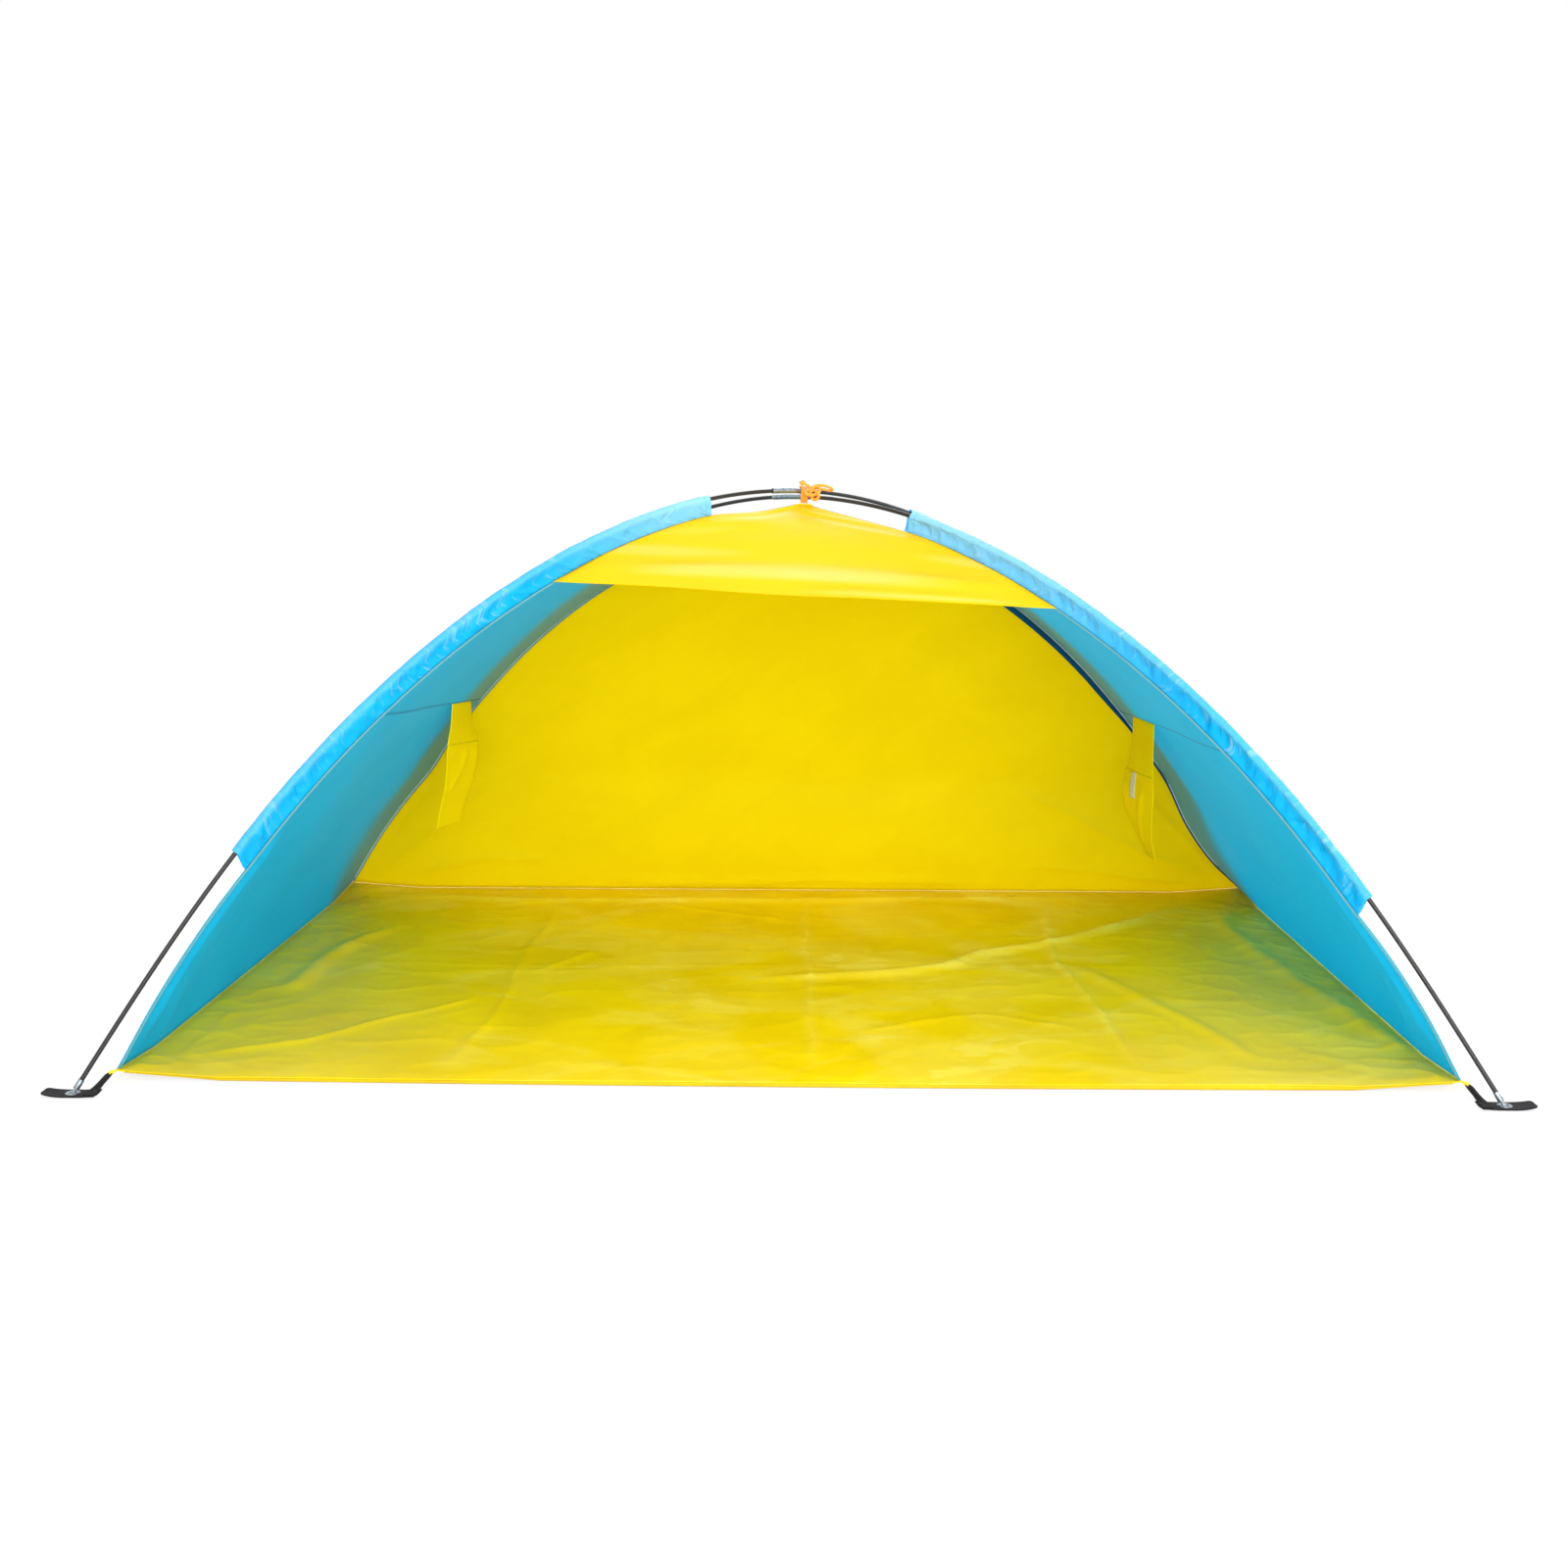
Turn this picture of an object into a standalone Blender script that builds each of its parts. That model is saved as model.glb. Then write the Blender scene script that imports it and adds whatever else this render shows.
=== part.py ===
"""Beach tent: two crossed flexible poles that carry a sewn shelter with a floor and an open front.

The origin is on the ground under the middle of the floor. X runs to the right, Y to the rear
and Z up. All lengths are in metres. The open front faces -Y.
"""

import math

import bmesh
import bpy
import numpy as np
from mathutils import Vector

# Driving sizes of the tent
FLOOR_WIDTH = 2.00
FLOOR_DEPTH = 1.25
FOOT_REACH_X = 0.031
FOOT_REACH_Y = 0.069
POLE_END_ANGLE = math.radians(54.64)
POLE_FLANK_ANGLE = math.radians(1.633)
FRONT_HIP_DEPTH = 0.028
REAR_HIP_DEPTH = 0.060
CREST_SHIFT = 0.022
CREST_LIFT = 0.0455
CREST_NARROWNESS = 6

# Clearances between pieces
SEAT_GAP = 0.0003
SEAM_GAP = 0.0005
STACK_GAP = 0.0006

# Poles
SECTIONS_PER_POLE = 6
POLE_DIAMETER = 0.0070
POLE_BORE = 0.0040
FERRULE_LENGTH = 0.080
FERRULE_CLEARANCE = 0.00045
FERRULE_WALL = 0.0008
POLE_STEPS_PER_SECTION = 8
SHOCK_CORD_DIAMETER = 0.0025

# Steel cap and pin on each pole end
CAP_WALL = 0.0008
CAP_DEPTH = 0.012
CAP_FLOOR = 0.003
PIN_DIAMETER = 0.0055
PIN_LENGTH = 0.009
PIN_POINT_LENGTH = 0.0015
PIN_POINT_SHARE = 0.6

# Cloth of the shelter
CLOTH = 0.0010
FLOOR_CLOTH = 0.0015
HIP_INSET = 0.0013
PANEL_FOOT_INSET = 0.004
CORNER_RISE = 0.012
FLOOR_FRONT_BOW = 0.010
WALL_SAG_SHARE = 0.030
SIDE_SAG_SHARE = -0.006
VALANCE_SAG_SHARE = 0.020
HEM_BAND_SHARE = 0.24
HEM_CROWN = 0.012
SAG_FULLNESS = 0.5
FOLD_DEPTH = 0.007
FOLD_COUNT = 3
FOLD_RISE_SHARE = 0.30
FOLD_REACH_SHARE = 0.35

# Places along a pole, as shares of its length from the foot
SLEEVE_START_SHARE = 0.132
FREE_EDGE_SHARES = (0.0, 0.34, 0.68)
FRONT_ROW_SHARES = (0.134, 0.165, 0.197, 0.228, 0.265, 0.303, 0.3425, 0.380, 0.415)
REAR_ROW_SHARES = (0.130, 0.155, 0.182, 0.207, 0.250, 0.290, 0.330, 0.370, 0.405)
CREST_ROW_SHARE = 0.478
SEAM_ROW = 6
VALANCE_ROW = 9
SIDE_COLUMN_SHARES = {
    "left": (0.0, 0.11, 0.22, 0.33, 0.44, 0.55, 0.66, 0.89, 1.0),
    "right": (0.0, 0.12, 0.24, 0.36, 0.48, 0.61, 0.85, 0.93, 1.0),
}
FLOOR_ROW_SHARES = (0.0, 0.12, 0.25, 0.38, 0.50, 0.62, 0.75, 0.88, 1.0)
WALL_COLUMN_SHARES = (0.0, 0.08, 0.17, 0.27, 0.38, 0.50, 0.62, 0.73, 0.83, 0.92, 1.0)

# Pole sleeves
SLEEVE_WALL = 0.0006
SLEEVE_LOOP_RADIUS = 0.0070
SLEEVE_BAND_HALF_WIDTH = 0.0009
SLEEVE_WAIST_HALF_WIDTH = 0.0032
SLEEVE_WAIST_DEPTH = 0.014
SLEEVE_STEPS = 16
SLEEVE_LOOP_SIDES = 6
SLEEVE_LOOP_ANGLE = math.radians(110)

# Top of the canopy, its loop and the tie cord
APEX_RADIUS = 0.012
PATCH_TOP_RADIUS = 0.009
PATCH_RADIUS = 0.018
PATCH_DROP = 0.0006
PATCH_CLOTH = 0.0012
PATCH_SIDES = 16
LOOP_STRIP = 0.0014
LOOP_HALF_WIDTH = 0.0052
LOOP_LENGTH = 0.006
TIE_DIAMETER = 0.0040
TIE_TURNS = 2
TIE_PITCH = 0.0048
TIE_WRAP_HALF_WIDTH = 0.0126
TIE_ROOM = 0.0008
TIE_STEPS_PER_TURN = 16
TIE_BALL_RADIUS = 0.0042
TIE_LEAD = 0.016
TIE_TAIL = 0.042

# Corner straps of webbing, their eyelets and their free ends
STRAP_WIDTH = 0.030
STRAP_THICKNESS = 0.0018
STRAP_FOLD_INSET = 0.006
TAIL_LENGTH = 0.032
TAIL_END_WIDTH = 0.024
TAIL_STEPS = 4
TAB_WIDTH = 0.010
TAB_LENGTH = 0.016
TAB_THICKNESS = 0.0014
EYELET_BORE = 0.0118
EYELET_BARREL = 0.0144
EYELET_FLANGE = 0.0210
EYELET_FLANGE_THICKNESS = 0.0007
EYELET_SIDES = 20
TURN_STEPS = 12

# Hanging flaps on the side panels
FLAP_CLOTH = 0.0012
FLAP_SIDE_INSET = 0.006
FLAP_UPPER_LENGTHS = {"left": 0.080, "right": 0.103}
FLAP_LOWER_LENGTH = 0.167
FLAP_FOLD_GAP = 0.00065
FLAP_END_SHARES = {"left": 0.56, "right": 0.50}
FLAP_BULGE = 0.012
FLAP_UPPER_STEPS = 4
FLAP_LOWER_STEPS = 12
FLAP_COLUMNS = 5
FLAP_PANEL_COLUMN = {"left": 6, "right": 5}
HOOK_PATCH_THICKNESS = 0.0010
HOOK_PATCH_ROWS = (1, 2, 3, 4, 5)
HOOK_PATCH_COLUMNS = (3, 4)

OVERRUN = 0.004
MERGE_DISTANCE = 0.00001
CURVE_SAMPLES = 2000

# The four corners, each with its side in X and Y and the pole that stands there
CORNERS = {
    "front_left": (-1, -1, "pole_a"),
    "front_right": (1, -1, "pole_b"),
    "rear_left": (-1, 1, "pole_b"),
    "rear_right": (1, 1, "pole_a"),
}

# How much lower the cloth sits along the pole at each corner, and how far its edge below the sleeve bows out
CLOTH_DROPS = {"front_left": 0.0, "front_right": 0.065, "rear_left": 0.0, "rear_right": 0.040}
EDGE_BOWS = {"front_left": 0.010, "front_right": 0.010, "rear_left": 0.010, "rear_right": -0.022}

# Where each sleeve ends, as a share of the pole's length before that drop, and the hip's depth at the crossing
SLEEVE_END_SHARES = {"front_left": 0.4455, "front_right": 0.4406, "rear_left": 0.428, "rear_right": 0.428}
CREST_HIP_DEPTHS = {"front_left": 0.034, "front_right": 0.020, "rear_left": 0.034, "rear_right": 0.034}

COLOURS = {
    "fibreglass": ((0.035, 0.033, 0.033), 0.35, 0.0),
    "steel": ((0.45, 0.50, 0.54), 0.28, 1.0),
    "elastic": ((0.80, 0.80, 0.78), 0.70, 0.0),
    "yellow_cloth": ((0.90, 0.72, 0.02), 0.55, 0.0),
    "blue_cloth": ((0.00, 0.42, 0.80), 0.50, 0.0),
    "webbing": ((0.03, 0.028, 0.032), 0.75, 0.0),
    "orange_cord": ((1.00, 0.45, 0.00), 0.60, 0.0),
    "white_patch": ((0.85, 0.85, 0.83), 0.80, 0.0),
}


def start_scene():
    """Empties the scene and makes the collections of parts and guides."""
    for old in list(bpy.data.objects):
        bpy.data.objects.remove(old)
    parts = bpy.data.collections.new("beach_tent")
    guides = bpy.data.collections.new("guides")
    for collection in (parts, guides):
        bpy.context.scene.collection.children.link(collection)
    return parts, guides


PARTS, GUIDES = start_scene()


def make_materials():
    """Makes one plain material for each colour of the tent."""
    made = {}
    for name, (colour, roughness, metallic) in COLOURS.items():
        material = bpy.data.materials.new(name)
        material.use_nodes = True
        shader = material.node_tree.nodes["Principled BSDF"]
        shader.inputs["Base Color"].default_value = (*colour, 1.0)
        shader.inputs["Roughness"].default_value = roughness
        shader.inputs["Metallic"].default_value = metallic
        made[name] = material
    return made


MATERIALS = make_materials()


def add_part(name, data, material, smooth=False):
    """Links a new part with its material and returns its object."""
    part = bpy.data.objects.new(name, data)
    PARTS.objects.link(part)
    part.data.materials.append(MATERIALS[material])
    if smooth and isinstance(data, bpy.types.Mesh):
        data.shade_smooth()
    return part


def add_guide(name, data):
    """Links a cutter or a section, which stays out of the model."""
    guide = bpy.data.objects.new(name, data)
    GUIDES.objects.link(guide)
    guide.hide_render = True
    guide.display_type = "WIRE"
    return guide


def add_thickness(part, thickness, offset):
    """Gives an open surface its thickness."""
    solidify = part.modifiers.new("thickness", "SOLIDIFY")
    solidify.thickness = thickness
    solidify.offset = offset
    solidify.use_even_offset = True
    return part


def cut_with(part, cutter, operation):
    """Cuts a part by a guide, or joins the guide to it."""
    boolean = part.modifiers.new(operation.lower(), "BOOLEAN")
    boolean.operation = operation
    boolean.solver = "EXACT"
    boolean.object = cutter


# The bow of a pole

def bow_of_unit_rod():
    """Returns shares of the rod's length with the run and the rise of a bent rod of length 1.

    A springy rod that is held only at its ends leans less and less from its foot to its middle, and the
    sleeves flatten its two flanks a little.
    """
    shares = np.linspace(0.0, 1.0, CURVE_SAMPLES + 1)
    lean = (POLE_END_ANGLE - POLE_FLANK_ANGLE) * np.cos(np.pi * shares)
    lean = lean + POLE_FLANK_ANGLE * np.cos(3 * np.pi * shares)
    step = shares[1]
    run = np.concatenate(([0.0], np.cumsum((np.cos(lean[1:]) + np.cos(lean[:-1])) * step / 2)))
    rise = np.concatenate(([0.0], np.cumsum((np.sin(lean[1:]) + np.sin(lean[:-1])) * step / 2)))
    return shares, run, rise


BOW_SHARES, BOW_RUN, BOW_RISE = bow_of_unit_rod()
FOOT_X = FLOOR_WIDTH / 2 + FOOT_REACH_X
FOOT_Y = FLOOR_DEPTH / 2 + FOOT_REACH_Y
FOOT_REACH = math.hypot(FOOT_X, FOOT_Y)
POLE_LENGTH = 2 * FOOT_REACH / BOW_RUN[-1]
FOOT_LIFT = PIN_DIAMETER / 2 * PIN_POINT_SHARE * math.cos(POLE_END_ANGLE)
CREST_SLIP = CREST_SHIFT * FOOT_Y / FOOT_X
CROSSING_SHARE = 0.5 + math.hypot(CREST_SHIFT, CREST_SLIP) / POLE_LENGTH
FERRULE_RADIUS = POLE_DIAMETER / 2 + FERRULE_CLEARANCE + FERRULE_WALL
CREST_STEP = {"pole_a": FERRULE_RADIUS + STACK_GAP / 2, "pole_b": -FERRULE_RADIUS - STACK_GAP / 2}
POLE_START = {"pole_a": (-1, -1), "pole_b": (1, -1)}


def pole_point(pole, share):
    """Returns the point of a pole's centre line at a share of its length from its front foot.

    The sewn cloth draws one pole a little to the front and the other to the rear, so that they cross to the
    right of the middle.
    """
    side_x, side_y = POLE_START[pole]
    run = 1 - 2 * np.interp(share, BOW_SHARES, BOW_RUN) / BOW_RUN[-1]
    rise = np.interp(share, BOW_SHARES, BOW_RISE) * POLE_LENGTH
    stretch = 1 + CREST_STEP[pole] / (POLE_LENGTH * BOW_RISE.max())
    pull = math.sin(math.pi * share) ** CREST_NARROWNESS
    y = side_y * FOOT_Y * run + side_x * CREST_SLIP * pull
    return Vector((side_x * FOOT_X * run, y, rise * stretch + FOOT_LIFT + CREST_LIFT * pull))


CREST_HEIGHT = (pole_point("pole_a", CROSSING_SHARE).z + pole_point("pole_b", CROSSING_SHARE).z) / 2


def pole_direction(pole, share):
    """Returns the unit direction of a pole's centre line, from its front foot onwards."""
    step = 2 / CURVE_SAMPLES
    low = min(max(share - step, 0.0), 1.0 - 2 * step)
    return (pole_point(pole, low + 2 * step) - pole_point(pole, low)).normalized()


def corner_point(corner, share):
    """Returns a pole's point at a share of its length from the foot at the named corner."""
    side_y, pole = CORNERS[corner][1:]
    return pole_point(pole, share if side_y < 0 else 1 - share)


def corner_inward(corner, share):
    """Returns the unit direction from a pole towards the inside of its bow."""
    side_y, pole = CORNERS[corner][1:]
    along = pole_direction(pole, share if side_y < 0 else 1 - share)
    level = Vector((along.x, along.y, 0.0)).normalized()
    return (level * along.z - Vector((0, 0, 1)) * math.hypot(along.x, along.y)).normalized()


def tube_curve(name, points, radius, caps, resolution=2, shares=None):
    """Makes a round tube curve through the points."""
    curve = bpy.data.curves.new(name, "CURVE")
    curve.dimensions = "3D"
    curve.twist_mode = "Z_UP"
    curve.bevel_depth = radius
    curve.bevel_resolution = resolution
    curve.use_fill_caps = caps
    spline = curve.splines.new("POLY")
    spline.points.add(len(points) - 1)
    for index, (target, point) in enumerate(zip(spline.points, points)):
        target.co = (*point, 1.0)
        target.radius = 1.0 if shares is None else shares[index]
    spline.use_smooth = True
    return curve


# Poles

END_ROOM = PIN_LENGTH + CAP_FLOOR + SEAT_GAP
SECTION_LENGTH = (POLE_LENGTH - 2 * END_ROOM) / SECTIONS_PER_POLE


def joint_place(index):
    """Returns the length along a pole at which section index starts."""
    return END_ROOM + index * SECTION_LENGTH


def section_places(index):
    """Returns lengths along a pole for one section, with the ferrules' own places among them."""
    low = joint_place(index) + SEAT_GAP / 2
    high = joint_place(index + 1) - SEAT_GAP / 2
    half = FERRULE_LENGTH / 2
    inner = np.linspace(joint_place(index) + half, joint_place(index + 1) - half, POLE_STEPS_PER_SECTION - 1)
    return [low, *inner, high]


def pole_line(pole, places):
    """Returns the pole's points at the given lengths from its front foot."""
    return [pole_point(pole, place / POLE_LENGTH) for place in places]


def make_pole_sections(pole):
    """Makes the hollow rods of one pole."""
    for index in range(SECTIONS_PER_POLE):
        name = f"{pole}_section_{index + 1}"
        curve = tube_curve(name, pole_line(pole, section_places(index)), POLE_DIAMETER / 2, False)
        add_thickness(add_part(name, curve, "fibreglass"), (POLE_DIAMETER - POLE_BORE) / 2, -1)


def make_ferrules(pole):
    """Makes the steel tubes that join the rods of one pole."""
    for index in range(1, SECTIONS_PER_POLE):
        name = f"{pole}_ferrule_{index}"
        middle = joint_place(index)
        places = (middle - FERRULE_LENGTH / 2, middle, middle + FERRULE_LENGTH / 2)
        curve = tube_curve(name, pole_line(pole, places), FERRULE_RADIUS, False)
        add_thickness(add_part(name, curve, "steel"), FERRULE_WALL, -1)


def make_shock_cord(pole):
    """Makes the elastic cord inside one pole, held between the end caps."""
    name = f"{pole}_shock_cord"
    places = [END_ROOM]
    for index in range(SECTIONS_PER_POLE):
        places += section_places(index)[1:-1] + [joint_place(index + 1)]
    curve = tube_curve(name, pole_line(pole, places), SHOCK_CORD_DIAMETER / 2, True, 1)
    add_part(name, curve, "elastic")


def turned_mesh(name, profile, closed):
    """Makes a wire profile that a Screw modifier turns about Z."""
    mesh = bpy.data.meshes.new(name)
    edges = [(index, index + 1) for index in range(len(profile) - 1)]
    if closed:
        edges.append((len(profile) - 1, 0))
    mesh.from_pydata([(radius, 0.0, height) for radius, height in profile], edges, [])
    return mesh


def add_screw(part, steps):
    """Turns a part's profile about its own Z axis."""
    screw = part.modifiers.new("turn", "SCREW")
    screw.steps = steps
    screw.render_steps = steps
    screw.use_merge_vertices = True
    screw.merge_threshold = MERGE_DISTANCE
    screw.use_smooth_shade = True


def make_end_cap(pole, end):
    """Makes the steel cap and pin on one end of a pole."""
    bore = POLE_DIAMETER / 2 + SEAT_GAP
    outer = bore + CAP_WALL
    pin = PIN_DIAMETER / 2
    profile = [
        (0.0, PIN_LENGTH + CAP_FLOOR),
        (bore, PIN_LENGTH + CAP_FLOOR),
        (bore, PIN_LENGTH + CAP_FLOOR + CAP_DEPTH),
        (outer, PIN_LENGTH + CAP_FLOOR + CAP_DEPTH),
        (outer, PIN_LENGTH),
        (pin, PIN_LENGTH),
        (pin, PIN_POINT_LENGTH),
        (pin * PIN_POINT_SHARE, 0.0),
        (0.0, 0.0),
    ]
    name = f"{pole}_{end}_cap"
    cap = add_part(name, turned_mesh(name, profile, False), "steel")
    add_screw(cap, TURN_STEPS)
    share, sense = (0.0, 1) if end == "front" else (1.0, -1)
    along = pole_direction(pole, share) * sense
    cap.location = pole_point(pole, share)
    cap.rotation_euler = along.to_track_quat("Z", "Y").to_euler()


def make_pole(pole):
    """Makes one whole pole."""
    make_pole_sections(pole)
    make_ferrules(pole)
    make_shock_cord(pole)
    for end in ("front", "rear"):
        make_end_cap(pole, end)


# Hips: the sewn lines under the poles, where the panels meet

def floor_height(x, y):
    """Returns the height of the floor's underside, which lifts a little at its corners."""
    gap_x = (FLOOR_WIDTH / 2 - abs(x)) / (FLOOR_WIDTH * WALL_COLUMN_SHARES[1])
    gap_y = (FLOOR_DEPTH / 2 - abs(y)) / (FLOOR_DEPTH * FLOOR_ROW_SHARES[1])
    return CORNER_RISE * max(0.0, 1 - gap_x - gap_y)


def hip_depth(corner):
    """Returns how far the hip seam lies inside the pole."""
    return FRONT_HIP_DEPTH if CORNERS[corner][1] < 0 else REAR_HIP_DEPTH


def drop_share(corner):
    """Returns how much lower the cloth sits at a corner, as a share of the pole's length."""
    return CLOTH_DROPS[corner] / POLE_LENGTH


def hip_at(corner, share):
    """Returns the hip's point under a place of the pole."""
    return corner_point(corner, share) + corner_inward(corner, share) * hip_depth(corner)


def apex_height():
    """Returns the height of the canopy's inner face at its top."""
    under_wrap = TIE_ROOM + TIE_DIAMETER / 2
    return tie_bottom() - under_wrap - SEAT_GAP - PATCH_CLOTH - SEAT_GAP - CLOTH


def tie_top():
    """Returns the height of the tie cord's centre over the poles."""
    return CREST_HEIGHT + CREST_STEP["pole_a"] + FERRULE_RADIUS + TIE_DIAMETER / 2 + SEAM_GAP


def tie_bottom():
    """Returns the height of the tie cord's centre under the poles and the loop's strip."""
    under_pole = CREST_HEIGHT + CREST_STEP["pole_b"] - FERRULE_RADIUS
    return under_pole - SEAT_GAP - LOOP_STRIP - TIE_ROOM - TIE_DIAMETER / 2


def hip_row(corner):
    """Returns the hip's points from the floor's corner to the top of the canopy."""
    side_x, side_y = CORNERS[corner][:2]
    shares = FRONT_ROW_SHARES if side_y < 0 else REAR_ROW_SHARES
    shares = [share - drop_share(corner) for share in (*shares, SLEEVE_END_SHARES[corner])]
    start = hip_at(corner, shares[0])
    foot_x = side_x * (FLOOR_WIDTH / 2 - PANEL_FOOT_INSET)
    foot_y = side_y * (FLOOR_DEPTH / 2 - PANEL_FOOT_INSET)
    foot = Vector((foot_x, foot_y, floor_height(foot_x, foot_y) + FLOOR_CLOTH + STACK_GAP))
    out = -corner_inward(corner, shares[0]) * EDGE_BOWS[corner]
    row = [foot.lerp(start, share) + out * 4 * share * (1 - share) for share in FREE_EDGE_SHARES]
    row += [hip_at(corner, share) for share in shares]
    crest_inward = corner_inward(corner, CREST_ROW_SHARE)
    row.append(corner_point(corner, CREST_ROW_SHARE) + crest_inward * CREST_HIP_DEPTHS[corner])
    level = Vector((side_x * FOOT_X, side_y * FOOT_Y, 0.0)).normalized()
    row.append(level * APEX_RADIUS + Vector((CREST_SHIFT, 0, apex_height())))
    return row


def hip_side(corner):
    """Returns the level direction square to a hip, towards its side panel."""
    side_x, side_y = CORNERS[corner][:2]
    return Vector((side_x * FOOT_Y, -side_y * FOOT_X, 0.0)).normalized()


def panel_edge(corner, panel_sense):
    """Returns a hip's points moved to one panel's side of the seam."""
    return [point + hip_side(corner) * HIP_INSET * panel_sense for point in hip_row(corner)]


def sagged(start, end, share, sag, down):
    """Returns a point between two hip points, drawn in by the pull of the cloth."""
    point = start.lerp(end, share)
    return point + down * (sag * (end - start).length * 4 * share * (1 - share))


def corner_folds(share, row_share):
    """Returns the shallow folds that run up from a panel's lower corners."""
    edge = min(share, 1 - share)
    fade = math.exp(-(row_share / FOLD_RISE_SHARE) ** 2 - (edge / FOLD_REACH_SHARE) ** 2)
    return FOLD_DEPTH * fade * math.sin(FOLD_COUNT * math.pi * (edge * 2 + row_share))


def panel_grid(first, second, sense, column_shares, inward, sag_share):
    """Returns rows of points of a panel between two hips."""
    start_edge = panel_edge(first, sense)
    end_edge = panel_edge(second, sense)
    grid = []
    last = len(start_edge) - 1
    for index, (start, end) in enumerate(zip(start_edge, end_edge)):
        row = []
        for share in column_shares:
            if index == 0:
                point = start.lerp(end, share)
                point.z = floor_height(point.x, point.y) + FLOOR_CLOTH + STACK_GAP
            else:
                rise = index / last
                sag = sag_share * math.sin(math.pi * rise) ** SAG_FULLNESS
                point = sagged(start, end, share, sag, inward)
                if 0 < share < 1:
                    point = point + inward * corner_folds(share, rise)
            row.append(point)
        grid.append(row)
    return grid


def cloth_mesh(name, grid, flip):
    """Makes an open cloth surface from rows of points."""
    rows = len(grid)
    columns = len(grid[0])
    cloth = bmesh.new()
    bmesh.ops.create_grid(cloth, x_segments=columns - 1, y_segments=rows - 1, size=1.0)
    for vertex in cloth.verts:
        column = round((vertex.co.x + 1) / 2 * (columns - 1))
        row = round((vertex.co.y + 1) / 2 * (rows - 1))
        vertex.co = grid[row][column]
    if flip:
        bmesh.ops.reverse_faces(cloth, faces=cloth.faces[:])
    mesh = bpy.data.meshes.new(name)
    cloth.to_mesh(mesh)
    cloth.free()
    return mesh


SIDE_INWARD = {"left": Vector((1, 0, 0)), "right": Vector((-1, 0, 0))}


def side_grid(side):
    """Returns the points of a side panel, front to rear in each row."""
    shares = SIDE_COLUMN_SHARES[side]
    return panel_grid(f"front_{side}", f"rear_{side}", 1, shares, SIDE_INWARD[side], SIDE_SAG_SHARE)


def make_side_panel(side):
    """Makes one blue side panel."""
    name = f"{side}_side_panel"
    panel = add_part(name, cloth_mesh(name, side_grid(side), side == "left"), "blue_cloth", True)
    add_thickness(panel, CLOTH, 1)


def make_rear_wall():
    """Makes the yellow rear wall."""
    inward = Vector((0, -1, 0))
    grid = panel_grid("rear_left", "rear_right", -1, WALL_COLUMN_SHARES, inward, WALL_SAG_SHARE)
    wall = add_part("rear_wall", cloth_mesh("rear_wall", grid, True), "yellow_cloth", True)
    add_thickness(wall, CLOTH, 1)


def make_valance():
    """Makes the roof front, which turns steeper in a band along its free edge."""
    left = panel_edge("front_left", -1)[VALANCE_ROW:]
    right = panel_edge("front_right", -1)[VALANCE_ROW:]
    for edge in (left, right):
        edge.insert(1, edge[0].lerp(edge[1], HEM_BAND_SHARE))
    grid = []
    for index, (start, end) in enumerate(zip(left, right)):
        sag = VALANCE_SAG_SHARE * math.sin(math.pi * index / len(left)) ** SAG_FULLNESS
        crown = HEM_CROWN if index == 1 else 0.0
        row = []
        for share in WALL_COLUMN_SHARES:
            point = sagged(start, end, share, sag, Vector((0, 0, -1)))
            row.append(point - Vector((0, crown * 4 * share * (1 - share), 0)))
        grid.append(row)
    panel = add_part("front_valance", cloth_mesh("front_valance", grid, False), "yellow_cloth", True)
    add_thickness(panel, CLOTH, 1)


def make_floor():
    """Makes the floor sheet, flat on the ground with lifted corners."""
    grid = []
    for share_y in FLOOR_ROW_SHARES:
        row = []
        for share_x in WALL_COLUMN_SHARES:
            x = FLOOR_WIDTH * (share_x - 0.5)
            y = FLOOR_DEPTH * (share_y - 0.5)
            height = floor_height(x, y)
            if share_y == 0:
                y -= FLOOR_FRONT_BOW * (1 - (2 * share_x - 1) ** 2)
            row.append(Vector((x, y, height)))
        grid.append(row)
    floor = add_part("floor", cloth_mesh("floor", grid, False), "yellow_cloth", True)
    add_thickness(floor, FLOOR_CLOTH, 1)


# Pole sleeves

def sleeve_section(corner):
    """Makes the guide curve of a sleeve's cross section, a loop over a flat band."""
    depth = hip_depth(corner) - SEAM_GAP
    points = []
    for index in range(SLEEVE_LOOP_SIDES):
        angle = SLEEVE_LOOP_ANGLE * (2 * index / (SLEEVE_LOOP_SIDES - 1) - 1)
        points.append((SLEEVE_LOOP_RADIUS * math.sin(angle), SLEEVE_LOOP_RADIUS * math.cos(angle)))
    points.append((SLEEVE_WAIST_HALF_WIDTH, -SLEEVE_WAIST_DEPTH))
    points.append((SLEEVE_BAND_HALF_WIDTH, -depth))
    points.append((-SLEEVE_BAND_HALF_WIDTH, -depth))
    points.append((-SLEEVE_WAIST_HALF_WIDTH, -SLEEVE_WAIST_DEPTH))
    curve = bpy.data.curves.new(f"{corner}_sleeve_section", "CURVE")
    curve.dimensions = "2D"
    spline = curve.splines.new("POLY")
    spline.points.add(len(points) - 1)
    for target, (across, up) in zip(spline.points, points):
        target.co = (across, up, 0.0, 1.0)
    spline.use_cyclic_u = True
    return add_guide(curve.name, curve)


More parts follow.
